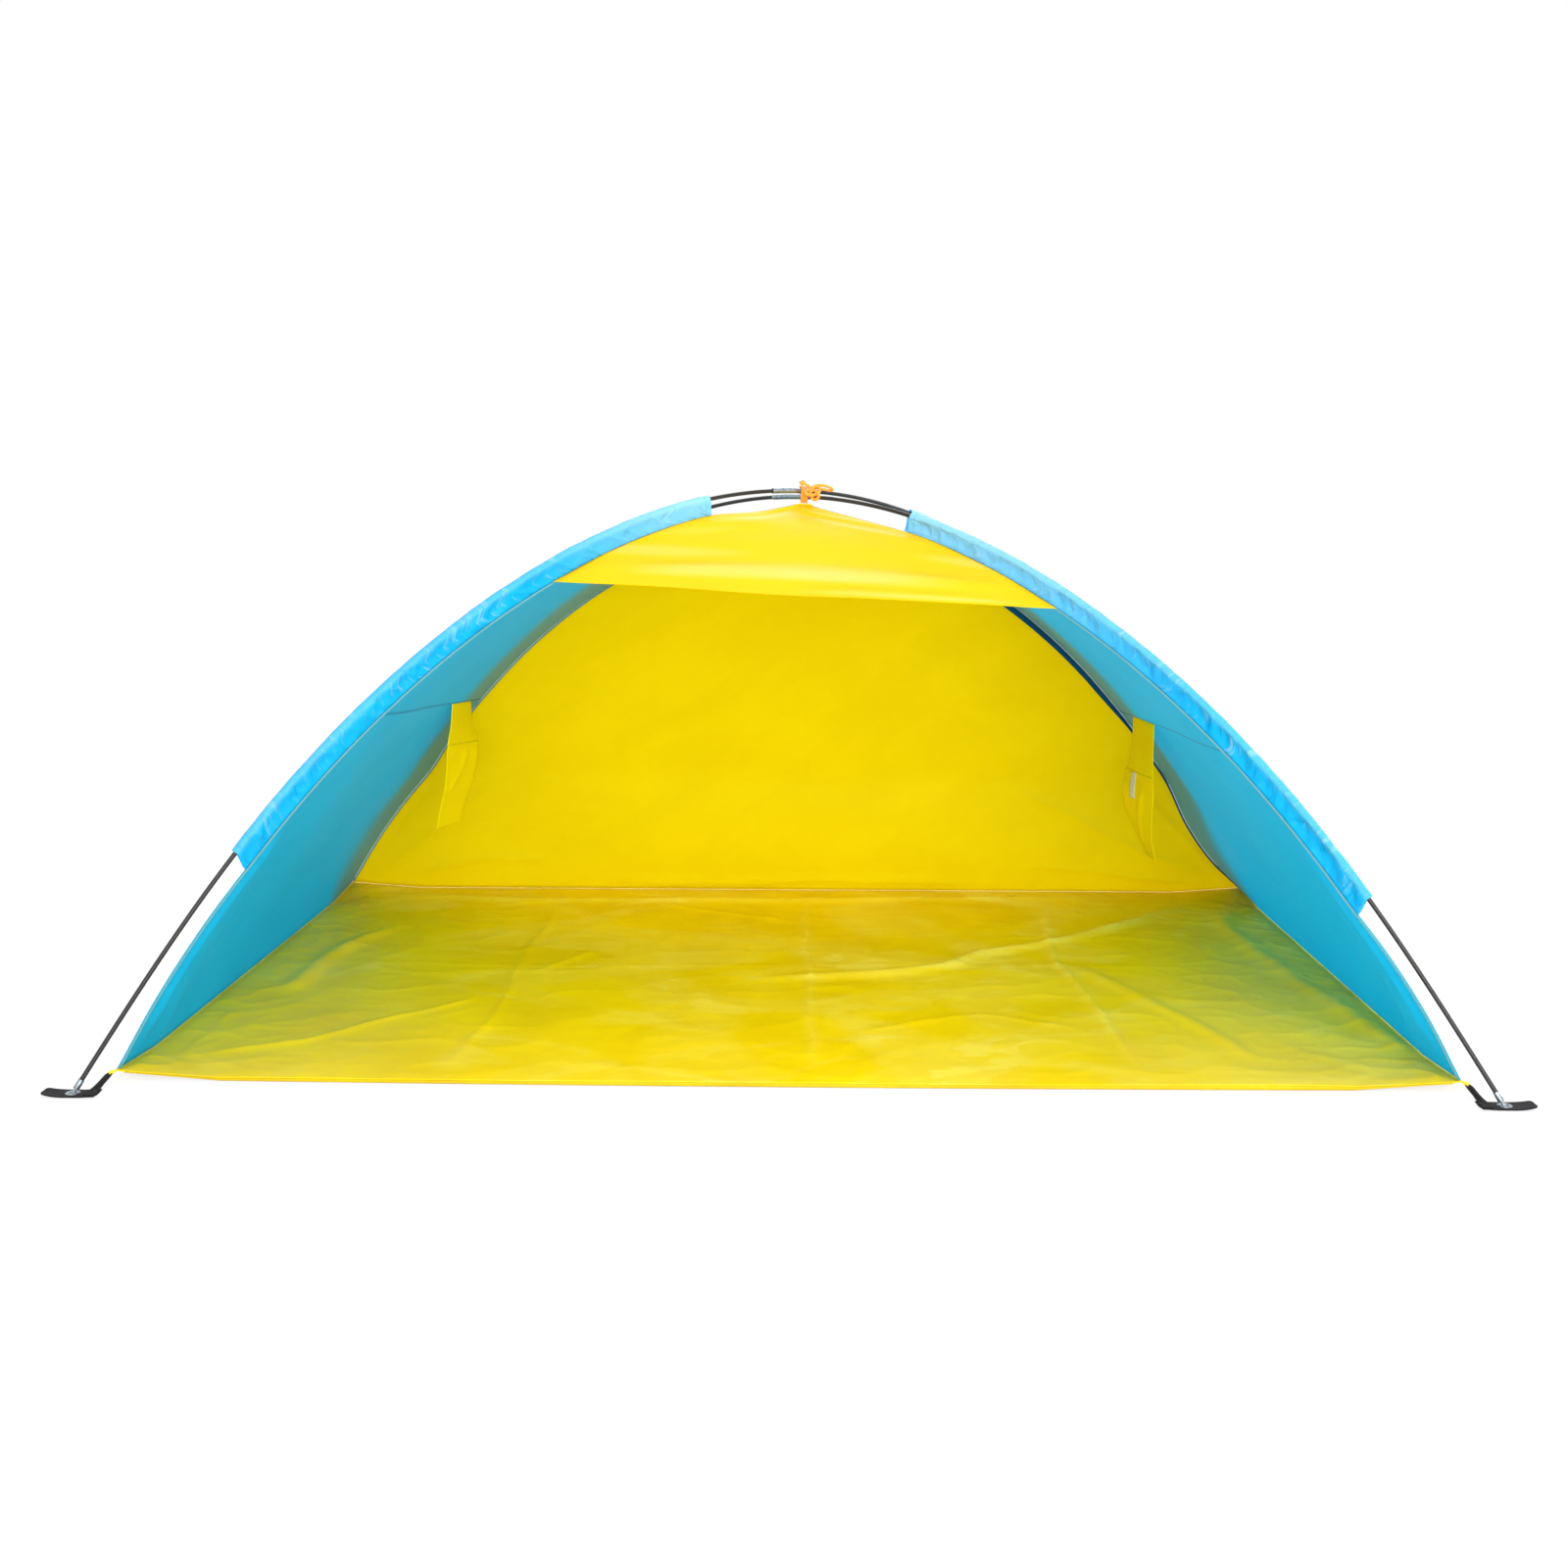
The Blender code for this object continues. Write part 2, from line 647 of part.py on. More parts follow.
def make_sleeve(corner):
    """Makes the sleeve on one hip, round its pole and down to the seam."""
    name = f"{corner}_sleeve"
    low = SLEEVE_START_SHARE - drop_share(corner)
    high = SLEEVE_END_SHARES[corner] - drop_share(corner)
    shares = np.linspace(low, high, SLEEVE_STEPS + 1)
    points = [corner_point(corner, share) for share in shares]
    curve = tube_curve(name, points, 0.0, False)
    curve.bevel_mode = "OBJECT"
    curve.bevel_object = sleeve_section(corner)
    add_thickness(add_part(name, curve, "blue_cloth"), SLEEVE_WALL, -1)


# Top of the canopy

def make_apex_loop():
    """Makes the round patch on the canopy's top with the loop that the tie cord goes through."""
    top = tie_bottom() - TIE_DIAMETER / 2 - TIE_ROOM
    cap = bmesh.new()
    bmesh.ops.create_cone(cap, cap_ends=True, segments=PATCH_SIDES, radius1=PATCH_RADIUS,
                          radius2=PATCH_TOP_RADIUS, depth=PATCH_DROP)
    low = min(cap.faces, key=lambda face: face.calc_center_median().z)
    bmesh.ops.delete(cap, geom=[low], context="FACES_ONLY")
    mesh = bpy.data.meshes.new("apex_loop")
    cap.to_mesh(mesh)
    cap.free()
    patch = add_part("apex_loop", mesh, "yellow_cloth")
    patch.location = (CREST_SHIFT, 0.0, top - PATCH_DROP / 2)
    add_thickness(patch, PATCH_CLOTH, -1)
    strip_top = tie_bottom() + TIE_DIAMETER / 2 + TIE_ROOM + LOOP_STRIP
    half = LOOP_HALF_WIDTH + LOOP_STRIP
    arch = box_guide("apex_arch", (-half, -LOOP_LENGTH / 2, top - PATCH_CLOTH / 2),
                     (half, LOOP_LENGTH / 2, strip_top))
    room = box_guide("apex_room", (-LOOP_HALF_WIDTH, -LOOP_LENGTH, top),
                     (LOOP_HALF_WIDTH, LOOP_LENGTH, strip_top - LOOP_STRIP))
    for guide, operation in ((arch, "UNION"), (room, "DIFFERENCE")):
        guide.location.x = CREST_SHIFT
        cut_with(patch, guide, operation)


def box_guide(name, low, high):
    """Makes a guide box between two corners."""
    box = bmesh.new()
    bmesh.ops.create_cube(box, size=1.0)
    for vertex in box.verts:
        vertex.co = [low[axis] if vertex.co[axis] < 0 else high[axis] for axis in range(3)]
    mesh = bpy.data.meshes.new(name)
    box.to_mesh(mesh)
    box.free()
    return add_guide(name, mesh)


def tie_route():
    """Returns the tie cord's points: a knot end, two turns round the crossing and a free end."""
    high = tie_top()
    middle = (tie_top() + tie_bottom()) / 2
    half_height = (tie_top() - tie_bottom()) / 2
    start_x = CREST_SHIFT - TIE_PITCH * TIE_TURNS / 2
    lead = [
        Vector((start_x - TIE_LEAD, -TIE_DIAMETER, high + TIE_DIAMETER)),
        Vector((start_x - TIE_LEAD / 2, -TIE_DIAMETER, high + TIE_DIAMETER / 2)),
    ]
    wrap = []
    for step in range(TIE_TURNS * TIE_STEPS_PER_TURN + 1):
        turn = step / TIE_STEPS_PER_TURN
        angle = math.pi / 2 - 2 * math.pi * turn
        wrap.append(Vector((start_x + TIE_PITCH * turn, TIE_WRAP_HALF_WIDTH * math.cos(angle),
                            middle + half_height * math.sin(angle))))
    end = wrap[-1]
    tail = [
        end + Vector((TIE_TAIL / 4, TIE_DIAMETER, TIE_DIAMETER / 2)),
        end + Vector((TIE_TAIL / 2, TIE_DIAMETER, TIE_DIAMETER / 2)),
        end + Vector((TIE_TAIL, 0.0, -TIE_DIAMETER / 2)),
    ]
    return lead, wrap, tail


def make_tie_cord():
    """Makes the orange cord that holds the canopy's loop to the crossed poles."""
    lead, wrap, tail = tie_route()
    route = lead + wrap + tail
    ball = TIE_BALL_RADIUS / (TIE_DIAMETER / 2)
    curve = tube_curve("tie_cord", route, TIE_DIAMETER / 2, True, 2, [ball] + [1.0] * (len(route) - 1))
    add_part("tie_cord", curve, "orange_cord")


# Corner straps

def eyelet_height():
    """Returns the eyelet's whole height."""
    return 2 * EYELET_FLANGE_THICKNESS + 2 * SEAT_GAP + STRAP_THICKNESS


def place_at_corner(corner, x, y, z):
    """Returns a point from its distances to the foot: outwards in X, outwards in Y and up."""
    side_x, side_y = CORNERS[corner][:2]
    return Vector((side_x * (FOOT_X + x), side_y * (FOOT_Y + y), z))


def foot_centre(corner):
    """Returns where the pole's axis passes the middle of the eyelet, as distances from the foot."""
    height = eyelet_height() / 2 - FOOT_LIFT
    back = height / math.tan(POLE_END_ANGLE)
    return -back * FOOT_X / FOOT_REACH, -back * FOOT_Y / FOOT_REACH


def make_eyelet(corner):
    """Makes the metal eyelet that takes the pole's pin."""
    bore, barrel, flange = EYELET_BORE / 2, EYELET_BARREL / 2, EYELET_FLANGE / 2
    top = eyelet_height()
    profile = [
        (flange, top),
        (flange, top - EYELET_FLANGE_THICKNESS),
        (barrel, top - EYELET_FLANGE_THICKNESS),
        (barrel, EYELET_FLANGE_THICKNESS),
        (flange, EYELET_FLANGE_THICKNESS),
        (flange, 0.0),
        (bore, 0.0),
        (bore, top),
    ]
    name = f"{corner}_eyelet"
    eyelet = add_part(name, turned_mesh(name, profile, True), "steel")
    add_screw(eyelet, EYELET_SIDES)
    eyelet.location = place_at_corner(corner, *foot_centre(corner), 0.0)


STRAP_LIFT = EYELET_FLANGE_THICKNESS + SEAT_GAP


def strap_end():
    """Returns the distance from the foot to the strap's outer edge, where the tail is hinged."""
    return EYELET_FLANGE / 2 + SEAT_GAP


def make_strap(corner):
    """Makes a corner strap: flat round the eyelet, folded, and rising to the floor's corner."""
    eye_x, eye_y = foot_centre(corner)
    half = STRAP_WIDTH / 2
    inner_x = -FOOT_REACH_X - STRAP_FOLD_INSET
    outer_x = eye_x + strap_end()
    tab_y = -FOOT_REACH_Y + TAB_LENGTH
    arm_top = CORNER_RISE + FLOOR_CLOTH / 2 - STRAP_THICKNESS / 2
    arm_middle = -FOOT_REACH_X
    waist_y = (eye_y - half + tab_y) / 2
    waist_height = (STRAP_LIFT + arm_top) / 2
    waist_half = (half + TAB_WIDTH / 2) / 2
    flat_x = (inner_x, inner_x + STRAP_WIDTH, outer_x)
    rows = [
        [(x, eye_y + half, STRAP_LIFT) for x in flat_x],
        [(x, eye_y - half, STRAP_LIFT) for x in flat_x],
        [(arm_middle - waist_half, waist_y, waist_height), (arm_middle + waist_half, waist_y, waist_height)],
        [(arm_middle - TAB_WIDTH / 2, tab_y, arm_top), (arm_middle + TAB_WIDTH / 2, tab_y, arm_top)],
    ]
    strap = bmesh.new()
    made = [[strap.verts.new(place_at_corner(corner, *point)) for point in row] for row in rows]
    for upper, lower in zip(made, made[1:]):
        for index in range(min(len(upper), len(lower)) - 1):
            strap.faces.new((upper[index], upper[index + 1], lower[index + 1], lower[index]))
    bmesh.ops.recalc_face_normals(strap, faces=strap.faces[:])
    if strap.faces[:][0].normal.z < 0:
        bmesh.ops.reverse_faces(strap, faces=strap.faces[:])
    name = f"{corner}_strap"
    mesh = bpy.data.meshes.new(name)
    strap.to_mesh(mesh)
    strap.free()
    part = add_thickness(add_part(name, mesh, "webbing"), STRAP_THICKNESS, 1)
    hole = bmesh.new()
    bmesh.ops.create_cone(hole, cap_ends=True, segments=EYELET_SIDES, radius1=EYELET_BARREL / 2 + SEAT_GAP,
                          radius2=EYELET_BARREL / 2 + SEAT_GAP, depth=STRAP_THICKNESS + 2 * OVERRUN)
    cutter_mesh = bpy.data.meshes.new(f"{corner}_strap_hole")
    hole.to_mesh(cutter_mesh)
    hole.free()
    cutter = add_guide(cutter_mesh.name, cutter_mesh)
    cutter.location = place_at_corner(corner, eye_x, eye_y, STRAP_LIFT + STRAP_THICKNESS / 2)
    cut_with(part, cutter, "DIFFERENCE")


def make_strap_tail(corner):
    """Makes a strap's free end, hinged on its upper inner edge so that it lifts off the ground."""
    eye_x, eye_y = foot_centre(corner)
    side_x = CORNERS[corner][0]
    start = eye_x + strap_end() + SEAT_GAP
    hinge = place_at_corner(corner, start, eye_y, STRAP_LIFT + STRAP_THICKNESS)
    grid = []
    for step in range(TAIL_STEPS + 1):
        share = step / TAIL_STEPS
        width = STRAP_WIDTH + (TAIL_END_WIDTH - STRAP_WIDTH) * share**2
        x = side_x * TAIL_LENGTH * share
        edges = (-side_x * width / 2, side_x * width / 2)
        grid.append([Vector((x, y, -STRAP_THICKNESS)) for y in edges])
    name = f"{corner}_strap_tail"
    tail = add_part(name, cloth_mesh(name, grid, True), "webbing")
    tail.location = hinge
    add_thickness(tail, STRAP_THICKNESS, 1)


def make_corner_tab(corner):
    """Makes the yellow tab between a strap and the floor's corner."""
    side_x, side_y = CORNERS[corner][:2]
    height = CORNER_RISE + FLOOR_CLOTH / 2 - TAB_THICKNESS / 2
    grid = []
    for reach in (SEAT_GAP, TAB_LENGTH - SEAT_GAP):
        y = side_y * (FLOOR_DEPTH / 2 + reach)
        middle = side_x * FLOOR_WIDTH / 2
        grid.append([Vector((middle + half, y, height)) for half in (-TAB_WIDTH / 2, TAB_WIDTH / 2)])
    name = f"{corner}_tab"
    tab = add_part(name, cloth_mesh(name, grid, side_y < 0), "yellow_cloth")
    add_thickness(tab, TAB_THICKNESS, 1)


def make_corner(corner):
    """Makes everything that holds one pole foot to the floor."""
    make_eyelet(corner)
    make_strap(corner)
    make_strap_tail(corner)
    make_corner_tab(corner)


# Hanging flaps

def flap_hinge(side):
    """Returns the ends of a flap's seam line beside the inner face of its side panel."""
    rows = side_grid(side)
    column = FLAP_PANEL_COLUMN[side]
    front, rear = rows[SEAM_ROW][column:column + 2]
    along = (rear - front).normalized()
    inward = along.cross(rows[SEAM_ROW - 1][column + 1] - rear).normalized()
    if inward.dot(SIDE_INWARD[side]) < 0:
        inward = -inward
    seat = inward * (FLAP_CLOTH / 2 + SEAM_GAP)
    return front + along * FLAP_SIDE_INSET + seat, rear - along * FLAP_SIDE_INSET + seat


def flap_inward(side):
    """Returns the level direction square to a flap, towards the middle of the tent."""
    front, rear = flap_hinge(side)
    square = (rear - front).cross(Vector((0, 0, 1))).normalized()
    return square if square.dot(SIDE_INWARD[side]) > 0 else -square


def flap_place(side, length, end_share, bulge, down, across):
    """Returns a place on a flap part from its fold line: down and across are shares of its size."""
    front, rear = flap_hinge(side)
    width = 1 + (end_share - 1) * down
    out = bulge * math.sin(2 * math.pi * down) * math.sin(math.pi * down) * (1 - across**2)
    return (rear - front) / 2 * across * width + flap_inward(side) * out - Vector((0, 0, length * down))


def flap_mesh(name, side, form, downs, acrosses, inset):
    """Makes the cloth of a flap part, or of a stretch of it.

    The cloth lies inset behind the part's origin, away from the middle of the tent.
    """
    behind = flap_inward(side) * inset
    grid = [[flap_place(side, *form, down, across) - behind for across in acrosses] for down in downs]
    return cloth_mesh(name, grid, side == "right")


def flap_middle(side, drop):
    """Returns the middle of a flap's fold line at a distance below its seam."""
    front, rear = flap_hinge(side)
    return (front + rear) / 2 - Vector((0, 0, drop))


def lower_drop(side):
    """Returns how far the fold between a flap's two parts lies below its seam."""
    return FLAP_UPPER_LENGTHS[side] + FLAP_FOLD_GAP


LOWER_DOWNS = np.linspace(0.0, 1.0, FLAP_LOWER_STEPS + 1)
FLAP_ACROSSES = np.linspace(-1.0, 1.0, FLAP_COLUMNS + 1)


def lower_form(side):
    """Returns the length, the taper and the bulge of a flap's lower part."""
    return FLAP_LOWER_LENGTH, FLAP_END_SHARES[side], FLAP_BULGE


def make_upper_flap(side):
    """Makes the upper part of a flap, which turns about the middle of its seam line."""
    name = f"{side}_flap_upper"
    form = (FLAP_UPPER_LENGTHS[side], 1.0, 0.0)
    downs = np.linspace(0.0, 1.0, FLAP_UPPER_STEPS + 1)
    part = add_part(name, flap_mesh(name, side, form, downs, FLAP_ACROSSES, 0.0), "yellow_cloth", True)
    part.location = flap_middle(side, 0.0)
    add_thickness(part, FLAP_CLOTH, 0)


def make_lower_flap(side):
    """Makes the lower part of a flap, which turns about its inner face so that it can fold inwards and up."""
    name = f"{side}_flap_lower"
    inset = FLAP_CLOTH / 2
    mesh = flap_mesh(name, side, lower_form(side), LOWER_DOWNS, FLAP_ACROSSES, inset)
    part = add_part(name, mesh, "yellow_cloth", True)
    part.location = flap_middle(side, lower_drop(side)) + flap_inward(side) * inset
    add_thickness(part, FLAP_CLOTH, 0)


def make_hook_patch():
    """Makes the white hook-and-loop patch on the inner face of the right flap's lower part."""
    name = "right_flap_patch"
    proud = SEAT_GAP + HOOK_PATCH_THICKNESS / 2
    downs = [LOWER_DOWNS[row] for row in HOOK_PATCH_ROWS]
    acrosses = [FLAP_ACROSSES[column] for column in HOOK_PATCH_COLUMNS]
    mesh = flap_mesh(name, "right", lower_form("right"), downs, acrosses, -proud)
    part = add_part(name, mesh, "white_patch")
    part.location = flap_middle("right", lower_drop("right")) + flap_inward("right") * FLAP_CLOTH / 2
    add_thickness(part, HOOK_PATCH_THICKNESS, 0)


def build():
    """Builds the whole tent."""
    for pole in ("pole_a", "pole_b"):
        make_pole(pole)
    make_floor()
    make_rear_wall()
    make_valance()
    for side in ("left", "right"):
        make_side_panel(side)
        make_upper_flap(side)
        make_lower_flap(side)
    make_hook_patch()
    for corner in CORNERS:
        make_sleeve(corner)
        make_corner(corner)
    make_apex_loop()
    make_tie_cord()


build()
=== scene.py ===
"""Looks of the beach tent: cloth, sleeves, poles, straps, flaps and tie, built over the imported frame.

All lengths are in metres. X runs to the right, Y to the rear and Z up, and the open front faces -Y.
"""

import logging
import math
from dataclasses import dataclass
from enum import Enum
from functools import cached_property

import bmesh
import bpy
import numpy as np
from mathutils import Matrix, Vector


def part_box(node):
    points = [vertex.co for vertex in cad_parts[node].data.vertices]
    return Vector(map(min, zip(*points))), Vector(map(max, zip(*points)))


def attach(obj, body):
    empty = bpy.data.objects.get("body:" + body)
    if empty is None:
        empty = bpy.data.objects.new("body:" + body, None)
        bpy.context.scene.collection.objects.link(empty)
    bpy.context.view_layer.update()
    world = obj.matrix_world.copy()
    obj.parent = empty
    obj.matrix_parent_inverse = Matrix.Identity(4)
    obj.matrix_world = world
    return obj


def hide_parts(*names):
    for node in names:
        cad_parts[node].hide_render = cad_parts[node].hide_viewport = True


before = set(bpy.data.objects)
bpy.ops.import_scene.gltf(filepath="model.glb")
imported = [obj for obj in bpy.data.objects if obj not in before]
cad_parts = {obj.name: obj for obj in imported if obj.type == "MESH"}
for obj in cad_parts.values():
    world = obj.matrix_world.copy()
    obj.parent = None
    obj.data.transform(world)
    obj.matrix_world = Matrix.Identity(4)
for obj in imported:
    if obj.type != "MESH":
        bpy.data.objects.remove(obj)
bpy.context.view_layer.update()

LOG = logging.getLogger("beach_tent")
TENT_BODY = "tent"
Array = np.ndarray
Piece = bpy.types.Object
Material = bpy.types.Material
Colour = tuple[float, float, float]
Place = tuple[float, float]
Spot = tuple[float, float, float]
Frame = tuple[Array, Array, Array]
UP = np.array([0.0, 0.0, 1.0])


def linear(red: float, green: float, blue: float) -> Colour:
    """Returns a colour of 0 to 255, as seen on a screen, on the shader's own scale."""
    shares = (part / 255 for part in (red, green, blue))
    return tuple(part / 12.92 if part <= 0.04045 else ((part + 0.055) / 1.055) ** 2.4 for part in shares)


class Corner(Enum):
    """The four corners, each with its side in X, its side in Y and its pole."""

    FRONT_LEFT = (-1, -1, "a")
    FRONT_RIGHT = (1, -1, "b")
    REAR_LEFT = (-1, 1, "b")
    REAR_RIGHT = (1, 1, "a")

    def __init__(self, side_x: int, side_y: int, pole: str) -> None:
        """Keeps the side in X, the side in Y, the pole's letter and the corner's name in the frame."""
        self.side_x, self.side_y, self.pole = side_x, side_y, pole
        self.label = self.name.lower()


class Side(Enum):
    """The two sides of the tent, with the direction of each in X."""

    LEFT = -1
    RIGHT = 1

    def __init__(self, sense: int) -> None:
        """Keeps the direction and the frame's name."""
        self.sense, self.label = sense, self.name.lower()

    @property
    def front(self) -> Corner:
        """Returns the front corner of this side."""
        return Corner.FRONT_LEFT if self is Side.LEFT else Corner.FRONT_RIGHT

    @property
    def rear(self) -> Corner:
        """Returns the rear corner of this side."""
        return Corner.REAR_LEFT if self is Side.LEFT else Corner.REAR_RIGHT


# Small sums on arrays


def unit(vectors: Array) -> Array:
    """Returns vectors along the last axis, scaled to length 1."""
    return vectors / np.maximum(np.linalg.norm(vectors, axis=-1, keepdims=True), 1e-12)


def eased(values: Array) -> Array:
    """Returns a smooth step from 0 at 0 to 1 at 1."""
    held = np.clip(values, 0.0, 1.0)
    return held * held * (3 - 2 * held)


def smooth_through(controls: Array, places: Array) -> Array:
    """Reads points from a smooth line, or rows from a smooth surface, through the given ones.

    Args:
        controls: Points or rows of points, one after another along the first axis.
        places: Where to read, counted in controls from 0.

    Returns:
        The points or rows at those places.
    """
    last = len(controls) - 1
    low = np.clip(np.floor(places).astype(int), 0, last - 1)
    part = (places - low).reshape((-1,) + (1,) * (controls.ndim - 1))
    before, here = controls[np.maximum(low - 1, 0)], controls[low]
    there, after = controls[low + 1], controls[np.minimum(low + 2, last)]
    before = np.where((low == 0).reshape(part.shape), 2 * here - there, before)
    after = np.where((low == last - 1).reshape(part.shape), 2 * there - here, after)
    return 0.5 * (2 * here + (there - before) * part
                  + (2 * before - 5 * here + 4 * there - after) * part**2
                  + (3 * here - before - 3 * there + after) * part**3)


def grid_normals(grid: Array, wrap: bool = False) -> Array:
    """Works out the direction square to a grid of points.

    Args:
        grid: Rows and columns of points.
        wrap: Whether the last column joins the first.

    Returns:
        A direction for each point.
    """
    down = np.gradient(grid, axis=0)
    if wrap:
        around = (np.roll(grid, -1, axis=1) - np.roll(grid, 1, axis=1)) / 2
    else:
        around = np.gradient(grid, axis=1)
    return unit(np.cross(around, down))


def spots(across: Array, back: Array, height: Array) -> Array:
    """Returns points from their places along X, Y and Z, spread over one another's shapes."""
    return np.stack(np.broadcast_arrays(across, back, height), axis=-1)


def run_lengths(grid: Array, axis: int) -> Array:
    """Measures how far each point lies along its row or column.

    Args:
        grid: Rows and columns of points.
        axis: 0 along the columns and 1 along the rows.

    Returns:
        The distance of each point from the first of its line.
    """
    steps = np.linalg.norm(np.diff(grid, axis=axis), axis=-1)
    start = np.zeros_like(np.take(steps, [0], axis=axis))
    return np.concatenate((start, np.cumsum(steps, axis=axis)), axis=axis)


@dataclass(frozen=True)
class Ripple:
    """Smooth random hills and hollows over flat cloth.

    Attributes:
        seed: Which hills they are.
        span_u: How far apart they lie along U.
        span_v: How far apart they lie along V.
        height: How far they stand proud.
    """

    seed: int
    span_u: float
    span_v: float
    height: float = 1.0
    cells: int = 64
    reach: float = 1.6

    def at(self, across: Array, up: Array, other: int = 0) -> Array:
        """Returns the heights at places on the cloth.

        Args:
            across: Places along U.
            up: Places along V.
            other: What is added to the seed, for a piece with its own hills.

        Returns:
            The heights.
        """
        turns = np.random.default_rng(self.seed + other).uniform(0, 2 * np.pi, (self.cells, self.cells))
        middle = self.cells / 3
        across, up = np.broadcast_arrays(across / self.span_u + middle, up / self.span_v + middle)
        column, row = np.floor(across).astype(int), np.floor(up).astype(int)
        part_u, part_v = across - column, up - row
        heights = np.zeros_like(part_u)
        for step_u in (0, 1):
            for step_v in (0, 1):
                turn = turns[(row + step_v) % self.cells, (column + step_u) % self.cells]
                slope = np.cos(turn) * (part_u - step_u) + np.sin(turn) * (part_v - step_v)
                near_u = part_u if step_u else 1 - part_u
                near_v = part_v if step_v else 1 - part_v
                heights += slope * eased(near_u) * eased(near_v)
        return heights * self.reach * self.height


@dataclass(frozen=True)
class Fold:
    """A fold or pressed crease that runs over flat cloth.

    Attributes:
        path: The places that it runs through.
        width: Half its width.
        height: How far it stands proud, or sinks where it is below zero.
        crisp: Whether its top is sharp, as in a pressed crease.
        wander: How far it strays from its path.
        seed: Which way it strays.
    """

    path: tuple[Place, ...]
    width: float
    height: float
    crisp: bool = False
    wander: float = 0.0
    seed: int = 1
    steps: int = 20
    taper: float = 5.0
    drift: float = 0.11

    def lift(self, across: Array, up: Array) -> Array:
        """Returns how far the fold lifts the cloth at each place.

        Args:
            across: Places along U.
            up: Places along V.

        Returns:
            The lift of each place.
        """
        stray = Ripple(self.seed, self.drift, self.drift, self.wander)
        across = across + stray.at(across, up)
        up = up + stray.at(across, up, 50)
        points = smooth_through(np.array(self.path, float), np.linspace(0, len(self.path) - 1, self.steps + 1))
        distance = np.full(across.shape, 1e9)
        share = np.zeros(across.shape)
        for index, (start, end) in enumerate(zip(points, points[1:])):
            along = end - start
            part = ((across - start[0]) * along[0] + (up - start[1]) * along[1]) / (along @ along)
            held = np.clip(part, 0, 1)
            gap = np.hypot(across - start[0] - held * along[0], up - start[1] - held * along[1])
            nearer = gap < distance
            distance = np.where(nearer, gap, distance)
            share = np.where(nearer, (index + held) / (len(points) - 1), share)
        taper = eased(np.minimum(share, 1 - share) * self.taper)
        profile = np.exp(-distance / self.width) if self.crisp else np.exp(-((distance / self.width) ** 2))
        return self.height * profile * taper


# Meshes


def linked(name: str, data: bpy.types.ID) -> Piece:
    """Returns a new object that has this data, linked to the scene."""
    piece = bpy.data.objects.new(name, data)
    bpy.context.scene.collection.objects.link(piece)
    return piece


def place_mesh(name: str, points: Array, faces: list, material: Material) -> Piece:
    """Makes an object from points and faces.

    Args:
        name: The piece's name.
        points: Its points.
        faces: Its faces, as numbers of points.
        material: Its finish.

    Returns:
        The object, linked to the scene and shaded smooth.
    """
    mesh = bpy.data.meshes.new(name)
    mesh.from_pydata(points.tolist(), [], faces)
    mesh.materials.append(material)
    mesh.shade_smooth()
    return linked(name, mesh)


def cloth_solid(name: str, grid: Array, thickness: float, material: Material,
                wrap: bool = False, **marks: Array) -> Piece:
    """Makes a closed thin piece on both sides of a grid of points.

    Args:
        name: The piece's name.
        grid: Rows and columns of points on its middle.
        thickness: Its thickness.
        material: Its finish.
        wrap: Whether the last column joins the first, as in a tube.
        marks: Numbers for each point that the finish reads, by name.

    Returns:
        The object, with a UV map of real lengths along its rows and columns.
    """
    rows, columns = grid.shape[:2]
    normals = grid_normals(grid, wrap)
    points = np.concatenate([(grid + normals * thickness / 2).reshape(-1, 3),
                             (grid - normals * thickness / 2).reshape(-1, 3)])
    numbers = np.arange(rows * columns).reshape(rows, columns)
    if wrap:
        numbers = np.concatenate((numbers, numbers[:, :1]), axis=1)
    quads = np.stack((numbers[:-1, :-1], numbers[:-1, 1:], numbers[1:, 1:], numbers[1:, :-1]), axis=-1)
    quads = quads.reshape(-1, 4)
    under = rows * columns
    rims = [numbers[0, ::-1], numbers[-1, :]]
    if not wrap:
        rims += [numbers[:, 0], numbers[::-1, -1]]
    rim_faces = [np.stack((rim[1:], rim[1:] + under, rim[:-1] + under, rim[:-1]), axis=-1) for rim in rims]
    faces = np.concatenate([quads, quads[:, ::-1] + under, *rim_faces])
    piece = place_mesh(name, points, faces.tolist(), material)
    mesh = piece.data
    mesh.polygons.foreach_set("use_smooth", np.arange(len(faces)) < 2 * len(quads))
    loop_points = np.zeros(len(mesh.loops), np.int32)
    mesh.loops.foreach_get("vertex_index", loop_points)
    places = np.stack((run_lengths(grid, 1), run_lengths(grid, 0)), axis=-1).reshape(-1, 2)
    layer = mesh.uv_layers.new(name="cloth")
    layer.data.foreach_set("uv", places[loop_points % under].astype(np.float32).ravel())
    for mark, values in marks.items():
        both = np.tile(values.reshape(-1), 2).astype(np.float32)
        mesh.attributes.new(mark, "FLOAT", "POINT").data.foreach_set("value", both)
    return piece


def flat_places(grid: Array) -> Frame:
    """Returns each point's run along its row and its column, and its distance from the nearest edge."""
    across, up = run_lengths(grid, 1), run_lengths(grid, 0)
    return across, up, np.minimum.reduce([across, across[:, -1:] - across, up, up[-1:] - up])


def raised(grid: Array, lift: Array, axis: int, sense: int) -> Array:
    """Returns a grid's points, each lifted square to the grid on the face that looks one way along an axis."""
    normals = grid_normals(grid)
    return grid + normals * np.sign(normals[..., axis:axis + 1] * sense) * lift[..., None]


